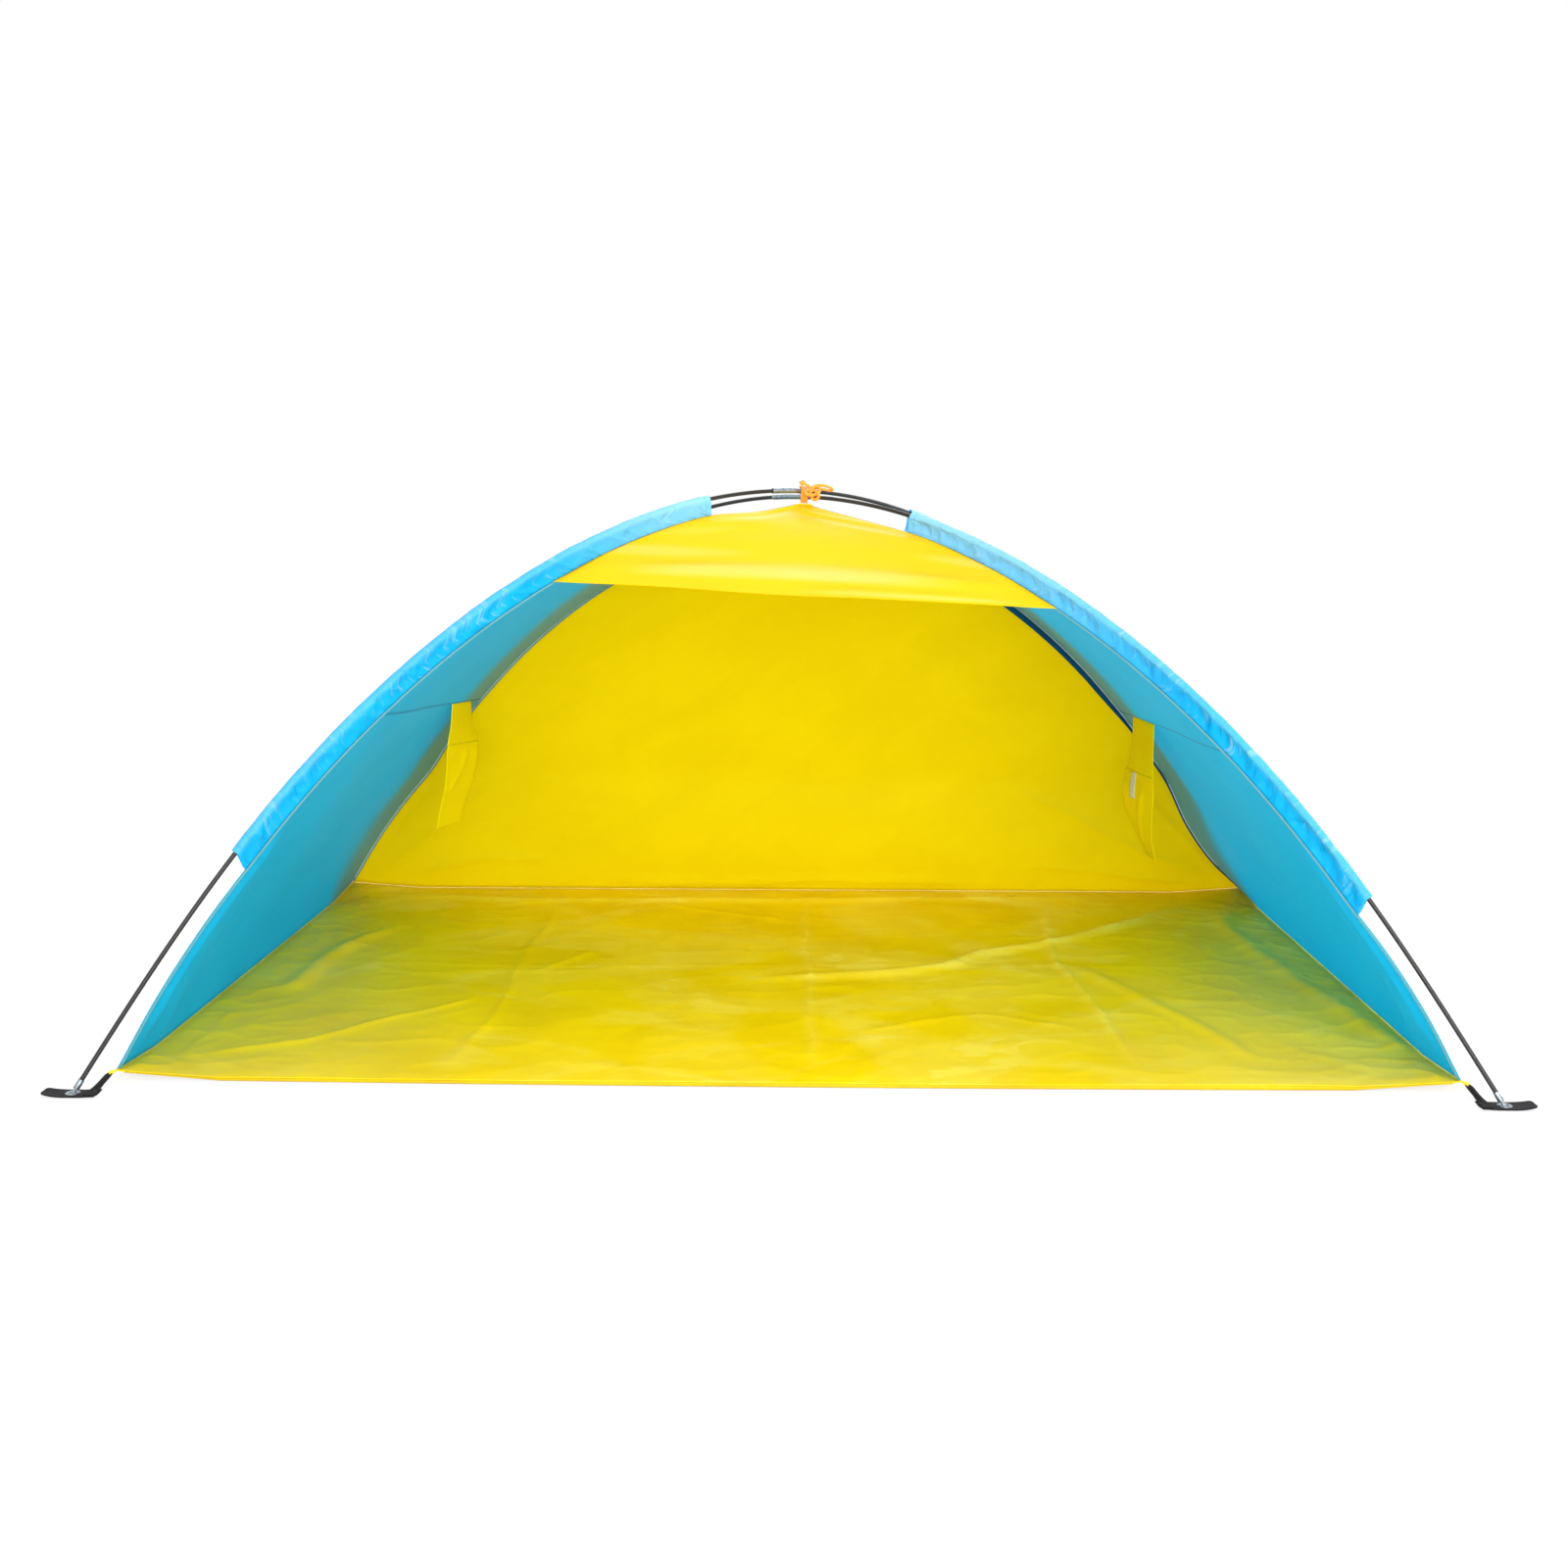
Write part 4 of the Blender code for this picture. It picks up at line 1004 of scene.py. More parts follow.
@dataclass(frozen=True)
class Skeleton:
    """The lines that everything follows: the bowed poles, and the hips where the panels are sewn together."""

    floor_width: float = 2.00
    floor_depth: float = 1.25
    foot_reach_x: float = 0.031
    foot_reach_y: float = 0.069
    end_angle: float = math.radians(54.64)
    flank_angle: float = math.radians(1.633)
    front_hip_depth: float = 0.028
    rear_hip_depth: float = 0.060
    crest_shift: float = 0.022
    crest_lift: float = 0.0455
    crest_narrowness: int = 6
    ferrule_radius: float = 0.00475
    pin_tip_radius: float = 0.00165
    seat_gap: float = 0.0003
    stack_gap: float = 0.0006
    floor_cloth: float = 0.0015
    hip_inset: float = 0.0013
    foot_inset: float = 0.004
    corner_rise: float = 0.012
    corner_reach_x: float = 0.16
    corner_reach_y: float = 0.15
    apex_radius: float = 0.012
    apex_drop: float = 0.0185
    crest_share: float = 0.478
    samples: int = 2000
    edge_shares: tuple[float, ...] = (0.0, 0.34, 0.68)
    front_shares: tuple[float, ...] = (0.134, 0.165, 0.197, 0.228, 0.265, 0.303, 0.3425, 0.380, 0.415)
    rear_shares: tuple[float, ...] = (0.130, 0.155, 0.182, 0.207, 0.250, 0.290, 0.330, 0.370, 0.405)

    @cached_property
    def bow(self) -> Frame:
        """Returns shares of a bent rod's length, with its run and its rise at length 1."""
        shares = np.linspace(0.0, 1.0, self.samples + 1)
        lean = (self.end_angle - self.flank_angle) * np.cos(np.pi * shares)
        lean = lean + self.flank_angle * np.cos(3 * np.pi * shares)
        run, rise = (np.concatenate(([0.0], np.cumsum((steps[1:] + steps[:-1]) * shares[1] / 2)))
                     for steps in (np.cos(lean), np.sin(lean)))
        return shares, run, rise

    @property
    def foot_x(self) -> float:
        """Returns how far a pole's foot stands from the middle in X."""
        return self.floor_width / 2 + self.foot_reach_x

    @property
    def foot_y(self) -> float:
        """Returns how far a pole's foot stands from the middle in Y."""
        return self.floor_depth / 2 + self.foot_reach_y

    @property
    def crest_slip(self) -> float:
        """Returns how far the cloth draws each pole to the front or the rear at the crossing."""
        return self.crest_shift * self.foot_y / self.foot_x

    @property
    def pole_length(self) -> float:
        """Returns the length of each pole."""
        return 2 * math.hypot(self.foot_x, self.foot_y) / self.bow[1][-1]

    @property
    def foot_lift(self) -> float:
        """Returns how far a pole's end stands over the ground."""
        return self.pin_tip_radius * math.cos(self.end_angle)

    @property
    def crest_height(self) -> float:
        """Returns the height where the poles cross."""
        share = np.array([0.5 + math.hypot(self.crest_shift, self.crest_slip) / self.pole_length])
        return float(self.pole_points("a", share)[0, 2] + self.pole_points("b", share)[0, 2]) / 2

    def crest_step(self, pole: str) -> float:
        """Returns how far a pole lies over or under the crossing's middle."""
        step = self.ferrule_radius + self.stack_gap / 2
        return step if pole == "a" else -step

    def pole_points(self, pole: str, shares: Array) -> Array:
        """Reads points on a pole's middle line.

        Args:
            pole: The pole's letter.
            shares: Shares of its length from its front foot.

        Returns:
            The points.
        """
        bow_shares, bow_run, bow_rise = self.bow
        side_x = -1 if pole == "a" else 1
        run = 1 - 2 * np.interp(shares, bow_shares, bow_run) / bow_run[-1]
        rise = np.interp(shares, bow_shares, bow_rise) * self.pole_length
        stretch = 1 + self.crest_step(pole) / (self.pole_length * bow_rise.max())
        pull = np.sin(np.pi * shares) ** self.crest_narrowness
        height = rise * stretch + self.foot_lift + self.crest_lift * pull
        back = side_x * self.crest_slip * pull - self.foot_y * run
        return spots(side_x * self.foot_x * run, back, height)

    def pole_frame(self, pole: str, shares: Array) -> Frame:
        """Reads a pole's line with the directions square to it.

        Args:
            pole: The pole's letter.
            shares: Shares of its length from its front foot.

        Returns:
            The points, the directions out of the bow and the directions across it.
        """
        step = 1 / self.samples
        low = np.clip(shares - step, 0, 1 - 2 * step)
        along = unit(self.pole_points(pole, low + 2 * step) - self.pole_points(pole, low))
        level = unit(along * np.array([1.0, 1.0, 0.0]))
        flat = np.linalg.norm(along[..., :2], axis=-1, keepdims=True)
        out = unit(UP * flat - level * along[..., 2:])
        return self.pole_points(pole, shares), out, np.cross(along, out)

    def corner_frame(self, corner: Corner, shares: Array) -> Frame:
        """Returns a pole's line and square directions at shares of its length from the foot at a corner."""
        shares = np.asarray(shares, float)
        return self.pole_frame(corner.pole, shares if corner.side_y < 0 else 1 - shares)

    def drop(self, corner: Corner) -> float:
        """Returns how much lower the cloth sits along the pole at a corner, as a share of its length."""
        return SEWN[corner].drop / self.pole_length

    def hip_depth(self, corner: Corner) -> float:
        """Returns how far a hip lies inside its pole."""
        return self.front_hip_depth if corner.side_y < 0 else self.rear_hip_depth

    def hip_side(self, corner: Corner) -> Array:
        """Returns the level direction square to a hip, towards its side panel."""
        return unit(np.array([corner.side_x * self.foot_y, -corner.side_y * self.foot_x, 0.0]))

    def floor_height(self, across: Array, back: Array) -> Array:
        """Reads how far the floor is lifted near its corners.

        Args:
            across: Places along X.
            back: Places along Y.

        Returns:
            The heights of its underside.
        """
        gap_x = (self.floor_width / 2 - np.abs(across)) / self.corner_reach_x
        gap_y = (self.floor_depth / 2 - np.abs(back)) / self.corner_reach_y
        return self.corner_rise * np.maximum(0.0, 1 - gap_x - gap_y)

    def hip(self, corner: Corner) -> Array:
        """Reads the hip from the floor's corner to the top of the canopy.

        Args:
            corner: The corner where it starts.

        Returns:
            Its points, one for each row of the panels.
        """
        shares = self.front_shares if corner.side_y < 0 else self.rear_shares
        shares = np.array([*shares, SEWN[corner].end]) - self.drop(corner)
        line, out, _ = self.corner_frame(corner, shares)
        seam = line - out * self.hip_depth(corner)
        foot_x = corner.side_x * (self.floor_width / 2 - self.foot_inset)
        foot_y = corner.side_y * (self.floor_depth / 2 - self.foot_inset)
        foot_z = self.floor_height(foot_x, foot_y) + self.floor_cloth + self.stack_gap
        foot = np.array([foot_x, foot_y, foot_z])
        edge = np.array(self.edge_shares)[:, None]
        free = foot + (seam[0] - foot) * edge + out[0] * SEWN[corner].bow * 4 * edge * (1 - edge)
        crest, crest_out, _ = self.corner_frame(corner, np.array([self.crest_share]))
        level = unit(np.array([corner.side_x * self.foot_x, corner.side_y * self.foot_y, 0.0]))
        apex = level * self.apex_radius + np.array([self.crest_shift, 0.0, self.crest_height - self.apex_drop])
        return np.concatenate((free, seam, crest - crest_out * SEWN[corner].crest_depth, apex[None]))


@dataclass
class Part:
    """A part of the tent, with the lines and the finishes that it is made from."""

    skeleton: Skeleton
    finishes: Finishes


# Sewn panels


@dataclass(frozen=True)
class Weave:
    """How a panel's cloth hangs between its hips.

    Attributes:
        sag: How far it is drawn in, as a share of its width.
        fullness: How quickly that starts above the floor.
        fold_depth: The depth of the shallow folds by its lower corners.
    """

    sag: float
    fullness: float = 0.5
    fold_depth: float = 0.007
    fold_count: int = 3
    fold_rise: float = 0.30
    fold_reach: float = 0.35

    def depth(self, share: Array, rise: float) -> Array:
        """Reads the depth of the lower corners' folds.

        Args:
            share: Places across the panel, as shares.
            rise: The row's height, as a share.

        Returns:
            The depths.
        """
        edge = np.minimum(share, 1 - share)
        fade = np.exp(-((rise / self.fold_rise) ** 2) - (edge / self.fold_reach) ** 2) * eased(edge / 0.06)
        return self.fold_depth * fade * np.sin(self.fold_count * np.pi * (edge * 2 + rise))


@dataclass(frozen=True)
class Band:
    """A long soft streak across the roof front, over a part of its width.

    Attributes:
        strength: How strong it is.
        up: How far it lies above the free edge, at the left end.
        slope: How much higher it lies at the right end.
        half: Half its height.
        left: Where it starts and over how much it comes up, as shares of the width.
        right: Where it ends and over how much it dies away.
        power: How flat its top is.
    """

    strength: float
    up: float
    slope: float
    half: float
    left: Place
    right: Place
    power: int = 2

    def at(self, share: Array, up: Array) -> Array:
        """Returns how strong the streak is at each place.

        Args:
            share: Places across the roof front, as shares.
            up: Places up from its free edge.

        Returns:
            The strengths.
        """
        body = np.exp(-(((up - self.up - self.slope * share) / self.half) ** self.power))
        start, end = (share - self.left[0]) / self.left[1], (self.right[0] - share) / self.right[1]
        return self.strength * body * eased(start) * eased(end)


@dataclass
class Canopy(Part):
    """The four sewn panels: two blue sides, the yellow rear wall and the yellow roof front."""

    cloth: float = 0.0010
    rows: int = 170
    columns: int = 120
    wall_columns: int = 210
    valance_row: int = 9
    seam_row: int = 6
    hem_band: float = 0.24
    hem_crown: float = 0.012
    valance_sag: float = 0.020
    valance_rows: int = 64
    edge_fade: float = 0.02
    roof_edge_fade: float = 0.025
    seam_ridge: float = 0.0008
    ridge_half: float = 0.006
    stiffness: float = 0.85
    stiff_half: float = 0.03
    stiff_start: float = 0.35
    pucker_reach: float = 0.06
    wall_creases: Spot = (-0.505, 0.020, 0.524)
    wall_swell_from: float = 0.2
    wall_pucker_reach: float = 0.14
    side_swell: Ripple = Ripple(11, 0.22, 0.30, 0.0022)
    side_pucker: Ripple = Ripple(15, 0.05, 0.16, 0.0012)
    sleeve_shadow_stray: Ripple = Ripple(17, 0.30, 0.12, 0.012)
    wall_swell: Ripple = Ripple(21, 0.55, 0.16, 0.0035)
    wall_pucker: Ripple = Ripple(22, 0.10, 0.05, 0.0014)
    roof_swell: Ripple = Ripple(31, 0.45, 0.060, 0.0022)
    roof_wave: Ripple = Ripple(33, 0.16, 0.5, 0.0016)
    roof_fold: Band = Band(0.0065, 0.060, 0.010, 0.016, (0.0, 0.3), (1.0, 0.2))
    roof_ripple: Band = Band(0.0030, 0.020, 0.0, 0.010, (0.45, 0.2), (0.95, 0.2))
    # Painted highlights on the roof front: a long streak over its hem, a thin one below it and soft blots
    # above.
    long_streak: Band = Band(1.0, 0.052, 0.012, 0.014, (0.06, 0.2), (0.90, 0.25), 4)
    thin_streak: Band = Band(1.0, 0.014, 0.0, 0.004, (0.45, 0.2), (0.96, 0.1))
    streak_mottle: Ripple = Ripple(35, 0.20, 0.03, 0.25)
    soft_highlights: Ripple = Ripple(36, 0.34, 0.05)
    binding_rows: int = 150
    binding_cloth: float = 0.0012
    binding_gap: float = 0.0008
    plain_width: float = 0.0032
    shadow_strip_width: float = 0.013

    def edges(self, corner: Corner, sense: int) -> Array:
        """Returns a hip moved to one panel's side of the seam."""
        return self.skeleton.hip(corner) + self.skeleton.hip_side(corner) * self.skeleton.hip_inset * sense

    def panel(self, first: Corner, second: Corner, sense: int, weave: Weave, inward: Spot,
              columns: int) -> Array:
        """Builds the surface between two hips.

        Args:
            first: The corner of its first column.
            second: The corner of its last column.
            sense: 1 for a side panel and -1 for the rear wall.
            weave: How the cloth hangs.
            inward: The direction into the tent.
            columns: How many points lie across it.

        Returns:
            Rows and columns of points, from the floor up.
        """
        start, end = self.edges(first, sense), self.edges(second, sense)
        shares = np.linspace(0, 1, columns)
        last = len(start) - 1
        rows = []
        for index in range(last + 1):
            line = start[index] + (end[index] - start[index]) * shares[:, None]
            if index == 0:
                height = self.skeleton.floor_height(line[:, 0], line[:, 1])
                line[:, 2] = height + self.skeleton.floor_cloth + self.skeleton.stack_gap
            else:
                rise = index / last
                width = np.linalg.norm(end[index] - start[index])
                draw = weave.sag * math.sin(math.pi * rise) ** weave.fullness * width * 4 * shares
                line += np.array(inward) * (draw * (1 - shares) + weave.depth(shares, rise))[:, None]
            rows.append(line)
        return smooth_through(np.array(rows), np.linspace(0, last, self.rows))

    def side_panel(self, side: Side) -> Array:
        """Returns the surface of a side panel, its front edge first."""
        inward = (-float(side.sense), 0.0, 0.0)
        return self.panel(side.front, side.rear, 1, Weave(-0.006), inward, self.columns)

    def seam_place(self, grid: Array) -> Array:
        """Returns how far each point lies above the seam across a side panel."""
        up = run_lengths(grid, 0)
        row = self.seam_row / (len(self.skeleton.hip(Corner.FRONT_LEFT)) - 1) * (self.rows - 1)
        low = int(row)
        seam = up[low] + (up[low + 1] - up[low]) * (row - low)
        return up - seam

    def make_side(self, side: Side) -> Piece:
        """Makes one blue side panel with its cross seam and the pulls below its sleeve.

        Args:
            side: The side.

        Returns:
            The piece.
        """
        grid = self.side_panel(side)
        across, up, edge = flat_places(grid)
        seam = self.seam_place(grid)
        pulls = (
            Fold(((0.050, 0.02), (0.040, 0.22), (0.060, 0.46)), 0.016, 0.0075),
            Fold(((0.095, 0.03), (0.080, 0.20), (0.110, 0.38)), 0.014, -0.0045),
            Fold(((0.150, 0.01), (0.145, 0.14), (0.190, 0.27)), 0.018, 0.0035),
        )
        lift = sum(pull.lift(across, up) for pull in pulls)
        lift = lift + self.side_swell.at(across, up, side.sense)
        lift = lift + self.side_pucker.at(across, up, side.sense) * np.exp(-edge / self.pucker_reach)
        lift = lift + self.seam_ridge * np.exp(-((seam / self.ridge_half) ** 2))
        stiff = np.exp(-((seam / self.stiff_half) ** 2)) * eased((across - self.stiff_start) / 0.1)
        lift *= eased(edge / self.edge_fade) * (1 - self.stiffness * stiff)
        # The strip along the rear edge carries the painted shadow of the rear sleeve.
        piece = cloth_solid(f"{side.label}_side_cloth", raised(grid, lift, 0, -side.sense), self.cloth,
                            self.finishes.side, edge=edge, seam=seam,
                            lap=across[:, -1:] - across + self.sleeve_shadow_stray.at(across, up, side.sense))
        settle(piece, "blue_cloth", f"{side.label}_side_panel")
        return piece

    def make_wall(self) -> Piece:
        """Makes the yellow rear wall, creased near its foot where it was folded and stretched.

        Returns:
            The piece.
        """
        grid = self.panel(Corner.REAR_LEFT, Corner.REAR_RIGHT, -1, Weave(0.030), (0.0, -1.0, 0.0),
                          self.wall_columns)
        across, up, edge = flat_places(grid)
        flat_x = grid[..., 0]
        folds = [Fold(((line, 0.0), (line + 0.004, 0.25), (line, 0.75)), 0.005, 0.0012, True, 0.003)
                 for line in self.wall_creases]
        folds += [
            Fold(((-0.46, 0.030), (-0.20, 0.020), (0.15, 0.034), (0.50, 0.024)),
                 0.012, 0.0060, False, 0.006, 3),
            Fold(((-0.90, 0.030), (-0.68, 0.085), (-0.52, 0.070)), 0.008, 0.0050, False, 0.006, 4),
            Fold(((-0.93, 0.025), (-0.80, 0.16), (-0.66, 0.30)), 0.010, 0.0045, False, 0.006, 5),
            Fold(((-0.95, 0.06), (-0.86, 0.20), (-0.78, 0.33)), 0.008, -0.0040, False, 0.004, 6),
            Fold(((-0.60, 0.14), (-0.50, 0.22), (-0.34, 0.20)), 0.007, 0.0030, True, 0.010, 7),
            Fold(((0.94, 0.03), (0.80, 0.12), (0.60, 0.22), (0.44, 0.30)), 0.012, 0.0050, False, 0.006, 8),
            Fold(((0.95, 0.05), (0.86, 0.17), (0.74, 0.30)), 0.009, 0.0045, False, 0.005, 9),
            Fold(((0.92, 0.02), (0.72, 0.06), (0.48, 0.09)), 0.010, 0.0045, False, 0.005, 10),
            Fold(((0.96, 0.10), (0.91, 0.24), (0.86, 0.40)), 0.009, -0.0040, False, 0.004, 11),
        ]
        lift = sum(fold.lift(flat_x, up) for fold in folds)
        lift = lift + self.wall_swell.at(across, up) * eased(up / self.wall_swell_from)
        lift = lift + self.wall_pucker.at(across, up) * np.exp(-up / self.wall_pucker_reach)
        lift *= eased(edge / self.edge_fade)
        piece = cloth_solid("rear_wall_cloth", raised(grid, lift, 1, -1), self.cloth, self.finishes.wall,
                            edge=edge)
        settle(piece, "yellow_cloth", "rear_wall")
        return piece

    def valance_grid(self) -> Array:
        """Returns the surface of the roof front, its free edge first."""
        left, right = (np.insert(hip, 1, hip[0] + (hip[1] - hip[0]) * self.hem_band, axis=0) for hip in (
            self.edges(side.front, -1)[self.valance_row:] for side in Side))
        shares = np.linspace(0, 1, self.columns)
        rows = []
        for index, (start, end) in enumerate(zip(left, right)):
            sag = self.valance_sag * math.sin(math.pi * index / len(left)) ** 0.5 * np.linalg.norm(end - start)
            crown = self.hem_crown if index == 1 else 0.0
            line = start + (end - start) * shares[:, None]
            line += (4 * shares * (1 - shares))[:, None] * np.array([0.0, -crown, -sag])
            rows.append(line)
        return smooth_through(np.array(rows), np.linspace(0, len(rows) - 1, self.valance_rows))

    def make_valance(self) -> Piece:
        """Makes the roof front, with level ripples and a hem.

        Returns:
            The piece.
        """
        grid = self.valance_grid()
        across, up, edge = flat_places(grid)
        width = across[:, -1:]
        middle, share = across - width / 2, across / width
        lift = self.roof_fold.at(share, up) + self.roof_ripple.at(share, up)
        lift = (lift + self.roof_swell.at(middle, up)) * eased(edge / self.roof_edge_fade)
        ends = eased(np.minimum(across, width - across) / 0.04)
        wave = self.roof_wave.at(middle, up) * np.exp(-up / 0.02) * ends
        grid = grid + grid_normals(grid) * lift[..., None] + UP * wave[..., None]
        # The roof's pale streaks are painted highlights, carried by its own mark.
        piece = cloth_solid("roof_front_cloth", grid, self.cloth, self.finishes.roof,
                            edge=edge, fade=self.streaks(share, up, middle))
        settle(piece, "yellow_cloth", "front_valance")
        return piece

    def streaks(self, share: Array, up: Array, middle: Array) -> Array:
        """Returns how much painted highlight the roof front gets: a long streak over its hem and softer ones
        above.

        Args:
            share: Places across it, as shares.
            up: Places up from its free edge.
            middle: Places across it from its middle line.

        Returns:
            The share of the painted highlight colour at each place.
        """
        long = self.long_streak.at(share, up) * (0.75 + self.streak_mottle.at(middle, up))
        thin = self.thin_streak.at(share, up)
        soft = eased((self.soft_highlights.at(middle, up) - 0.1) / 0.5) * eased((up - 0.085) / 0.03)
        return np.clip(long * 0.72 + thin * 0.45 + soft * 0.30, 0, 1)

    def make_binding(self, corner: Corner) -> Piece:
        """Makes the tape that binds a hip's seam inside the tent, widened at the right rear into a dark strip
        of painted shadow from the rear pole and sleeve.

        Args:
            corner: The corner where the hip starts.

        Returns:
            The piece.
        """
        dark = corner is Corner.REAR_RIGHT
        last = len(self.skeleton.hip(corner)) - 1.6
        hip = smooth_through(self.skeleton.hip(corner), np.linspace(0.02, last, self.binding_rows))
        along = unit(np.gradient(hip, axis=0))
        inward = unit(np.cross(self.skeleton.hip_side(corner), along))
        inward *= np.sign(-inward[:, 2:3] + 1e-9)
        places = np.linspace(0, last, self.binding_rows)
        widths = np.interp(places, [0, 5.0, 6.5, last], [0.004, 0.005, 0.012, self.shadow_strip_width])
        widths = widths[:, None] if dark else self.plain_width
        spread = np.linspace(0, 1, 4)
        grid = hip[:, None] + inward[:, None] * (self.binding_gap + spread[None, :] * widths)[..., None]
        # At the right rear the tape carries the painted shadow of the pole and sleeve behind it.
        finish = self.finishes.tape if dark else self.finishes.side
        piece = cloth_solid(f"{corner.label}_binding", grid, self.binding_cloth, finish,
                            edge=flat_places(grid)[2], seam=np.ones(grid.shape[:2]))
        settle(piece, "blue_cloth")
        length = float(run_lengths(hip[:, None], 0)[-1, 0])
        return piece

    def build(self) -> list[Piece]:
        """Builds the panels and the tapes on their seams."""
        return [*map(self.make_side, Side), self.make_wall(), self.make_valance(),
                *map(self.make_binding, Corner)]


@dataclass
class Ground(Part):
    """The floor sheet, which lies on the ground with its corners pulled up."""

    cloth: float = 0.0010
    columns: int = 340
    rows: int = 216
    front_bow: float = 0.010
    front_lift: float = 0.0065
    hem_reach: float = 0.05
    edge_fade: float = 0.03
    ground_gap: float = 0.0002
    ridges: Ripple = Ripple(41, 0.17, 0.13)
    fine_ridges: Ripple = Ripple(42, 0.07, 0.06)
    swell: Ripple = Ripple(43, 0.33, 0.26)
    front_wave: Ripple = Ripple(44, 0.5, 1.0)
    gloss_blots: Ripple = Ripple(46, 0.16, 0.30)
    ridge_height: float = 0.0016
    fine_height: float = 0.0004
    fine_at_sides: float = 0.0030
    sides_reach: float = 0.12
    swell_height: float = 0.0022
    hem_inset: int = 3
    hem_cloth: float = 0.0012
    hem_clearance: float = 0.0004
    hem_bulge: float = 0.0016
    hem_offset: float = 0.0010

    def folds(self) -> list[Fold]:
        """Returns the sheet's creases: pressed lines from storage and long folds pulled from its corners."""
        return [
            Fold(((-0.520, -0.61), (-0.494, -0.31), (-0.502, 0.0), (-0.502, 0.60)),
                 0.006, 0.0036, True, 0.008, 1),
            Fold(((0.045, -0.61), (0.038, -0.30), (0.031, 0.0), (0.020, 0.60)), 0.006, 0.0030, True, 0.008, 2),
            Fold(((0.536, -0.61), (0.529, -0.28), (0.503, 0.02), (0.506, 0.19), (0.560, 0.61)),
                 0.007, 0.0044, True, 0.006, 3),
            Fold(((-0.98, 0.012), (-0.40, -0.01), (0.30, 0.015), (0.98, 0.0)), 0.006, 0.0014, True, 0.012, 4),
            Fold(((-0.10, -0.085), (0.052, -0.076), (0.255, -0.02), (0.367, 0.084), (0.523, 0.18),
                  (0.70, 0.338), (0.93, 0.57)), 0.018, 0.0090, False, 0.006, 5),
            Fold(((-0.30, 0.480), (-0.223, 0.438), (-0.101, 0.373), (0.013, 0.319)),
                 0.008, 0.0045, True, 0.006, 6),
            Fold(((-0.98, -0.56), (-0.767, -0.444), (-0.667, -0.34), (-0.578, -0.257), (-0.53, -0.199)),
                 0.009, 0.0042, True, 0.006, 7),
            Fold(((0.51, 0.03), (0.62, -0.20), (0.74, -0.55)), 0.018, 0.0050, False, 0.010, 8),
            Fold(((-0.474, -0.071), (-0.42, 0.015), (-0.369, 0.099)), 0.010, 0.0040, True, 0.004, 9),
            Fold(((0.93, 0.45), (0.885, 0.30), (0.909, 0.0), (0.949, -0.30), (0.98, -0.50)),
                 0.022, 0.0070, False, 0.006, 10),
            Fold(((-0.80, 0.30), (-0.868, 0.085), (-0.876, -0.075), (-0.886, -0.22)),
                 0.020, 0.0075, False, 0.006, 11),
            Fold(((0.10, -0.40), (0.30, -0.30), (0.48, -0.36)), 0.010, 0.0030, True, 0.014, 13),
            Fold(((-0.94, 0.56), (-0.595, 0.500), (-0.234, 0.508), (0.107, 0.517), (0.94, 0.575)),
                 0.020, 0.0060, False, 0.006, 14),
        ]

    def painted_gloss_share(self, across: Array, back: Array) -> Array:
        """Returns how much painted reflection the sheet gets, along its creases and in patches beside them.

        Args:
            across: Places along X.
            back: Places along Y.

        Returns:
            A share of the painted reflection's colour for each place.
        """
        folds = self.folds()
        # Painted reflections along the tops of these creases.
        worn = sum(np.abs(fold.lift(across, back)) / abs(fold.height)
                   for fold in (folds[1], folds[2], folds[4], folds[-1]))
        beside = self.gloss_blots.at(across + back * 0.35, back) * 0.5 + 0.5
        gloss_blots = eased((beside - 0.45) / 0.25) * eased(1 - np.abs(across - 0.20) / 0.75)
        return np.clip(worn * 0.7 + gloss_blots * 0.5, 0, 1)

    def build(self) -> list[Piece]:
        """Builds the sheet and the hem along its front edge."""
        half_x, half_y = self.skeleton.floor_width / 2, self.skeleton.floor_depth / 2
        across, back = np.meshgrid(np.linspace(-half_x, half_x, self.columns),
                                   np.linspace(-half_y, half_y, self.rows))
        shares = (across / half_x) ** 2
        edge = np.minimum(half_x - np.abs(across), half_y - np.abs(back))
        front = np.exp(-(back + half_y) / self.hem_reach)
        lift = sum(fold.lift(across, back) for fold in self.folds())
        ridges = 1 - np.abs(self.ridges.at(across, back)) * 1.6
        fine = 1 - np.abs(self.fine_ridges.at(across, back)) * 1.6
        sides = np.exp(-(half_x - np.abs(across)) / self.sides_reach)
        fine_height = self.fine_height + self.fine_at_sides * sides
        lift += self.ridge_height * np.clip(ridges, 0, 1) ** 3 + fine_height * np.clip(fine, 0, 1) ** 3
        lift += self.swell_height * (0.5 + 0.5 * self.swell.at(across, back))
        lift *= eased(edge / self.edge_fade)
        wave = 0.75 + 0.25 * self.front_wave.at(across, back * 0)
        lift += self.front_lift * front * eased((half_x - np.abs(across)) / 0.25) * wave
        height = self.skeleton.floor_height(across, back) + self.cloth / 2 + self.ground_gap + lift
        depth = back - self.front_bow * (1 - shares) * eased(1 - (back + half_y) / 0.12)
        grid = spots(across, depth, height)
        sheet = cloth_solid("ground_cloth", grid, self.cloth, self.finishes.ground,
                            edge=edge, pale=self.painted_gloss_share(across, back))
        settle(sheet, "yellow_cloth", "floor")
        hem = self.make_hem(grid[0])
        return [sheet, hem]

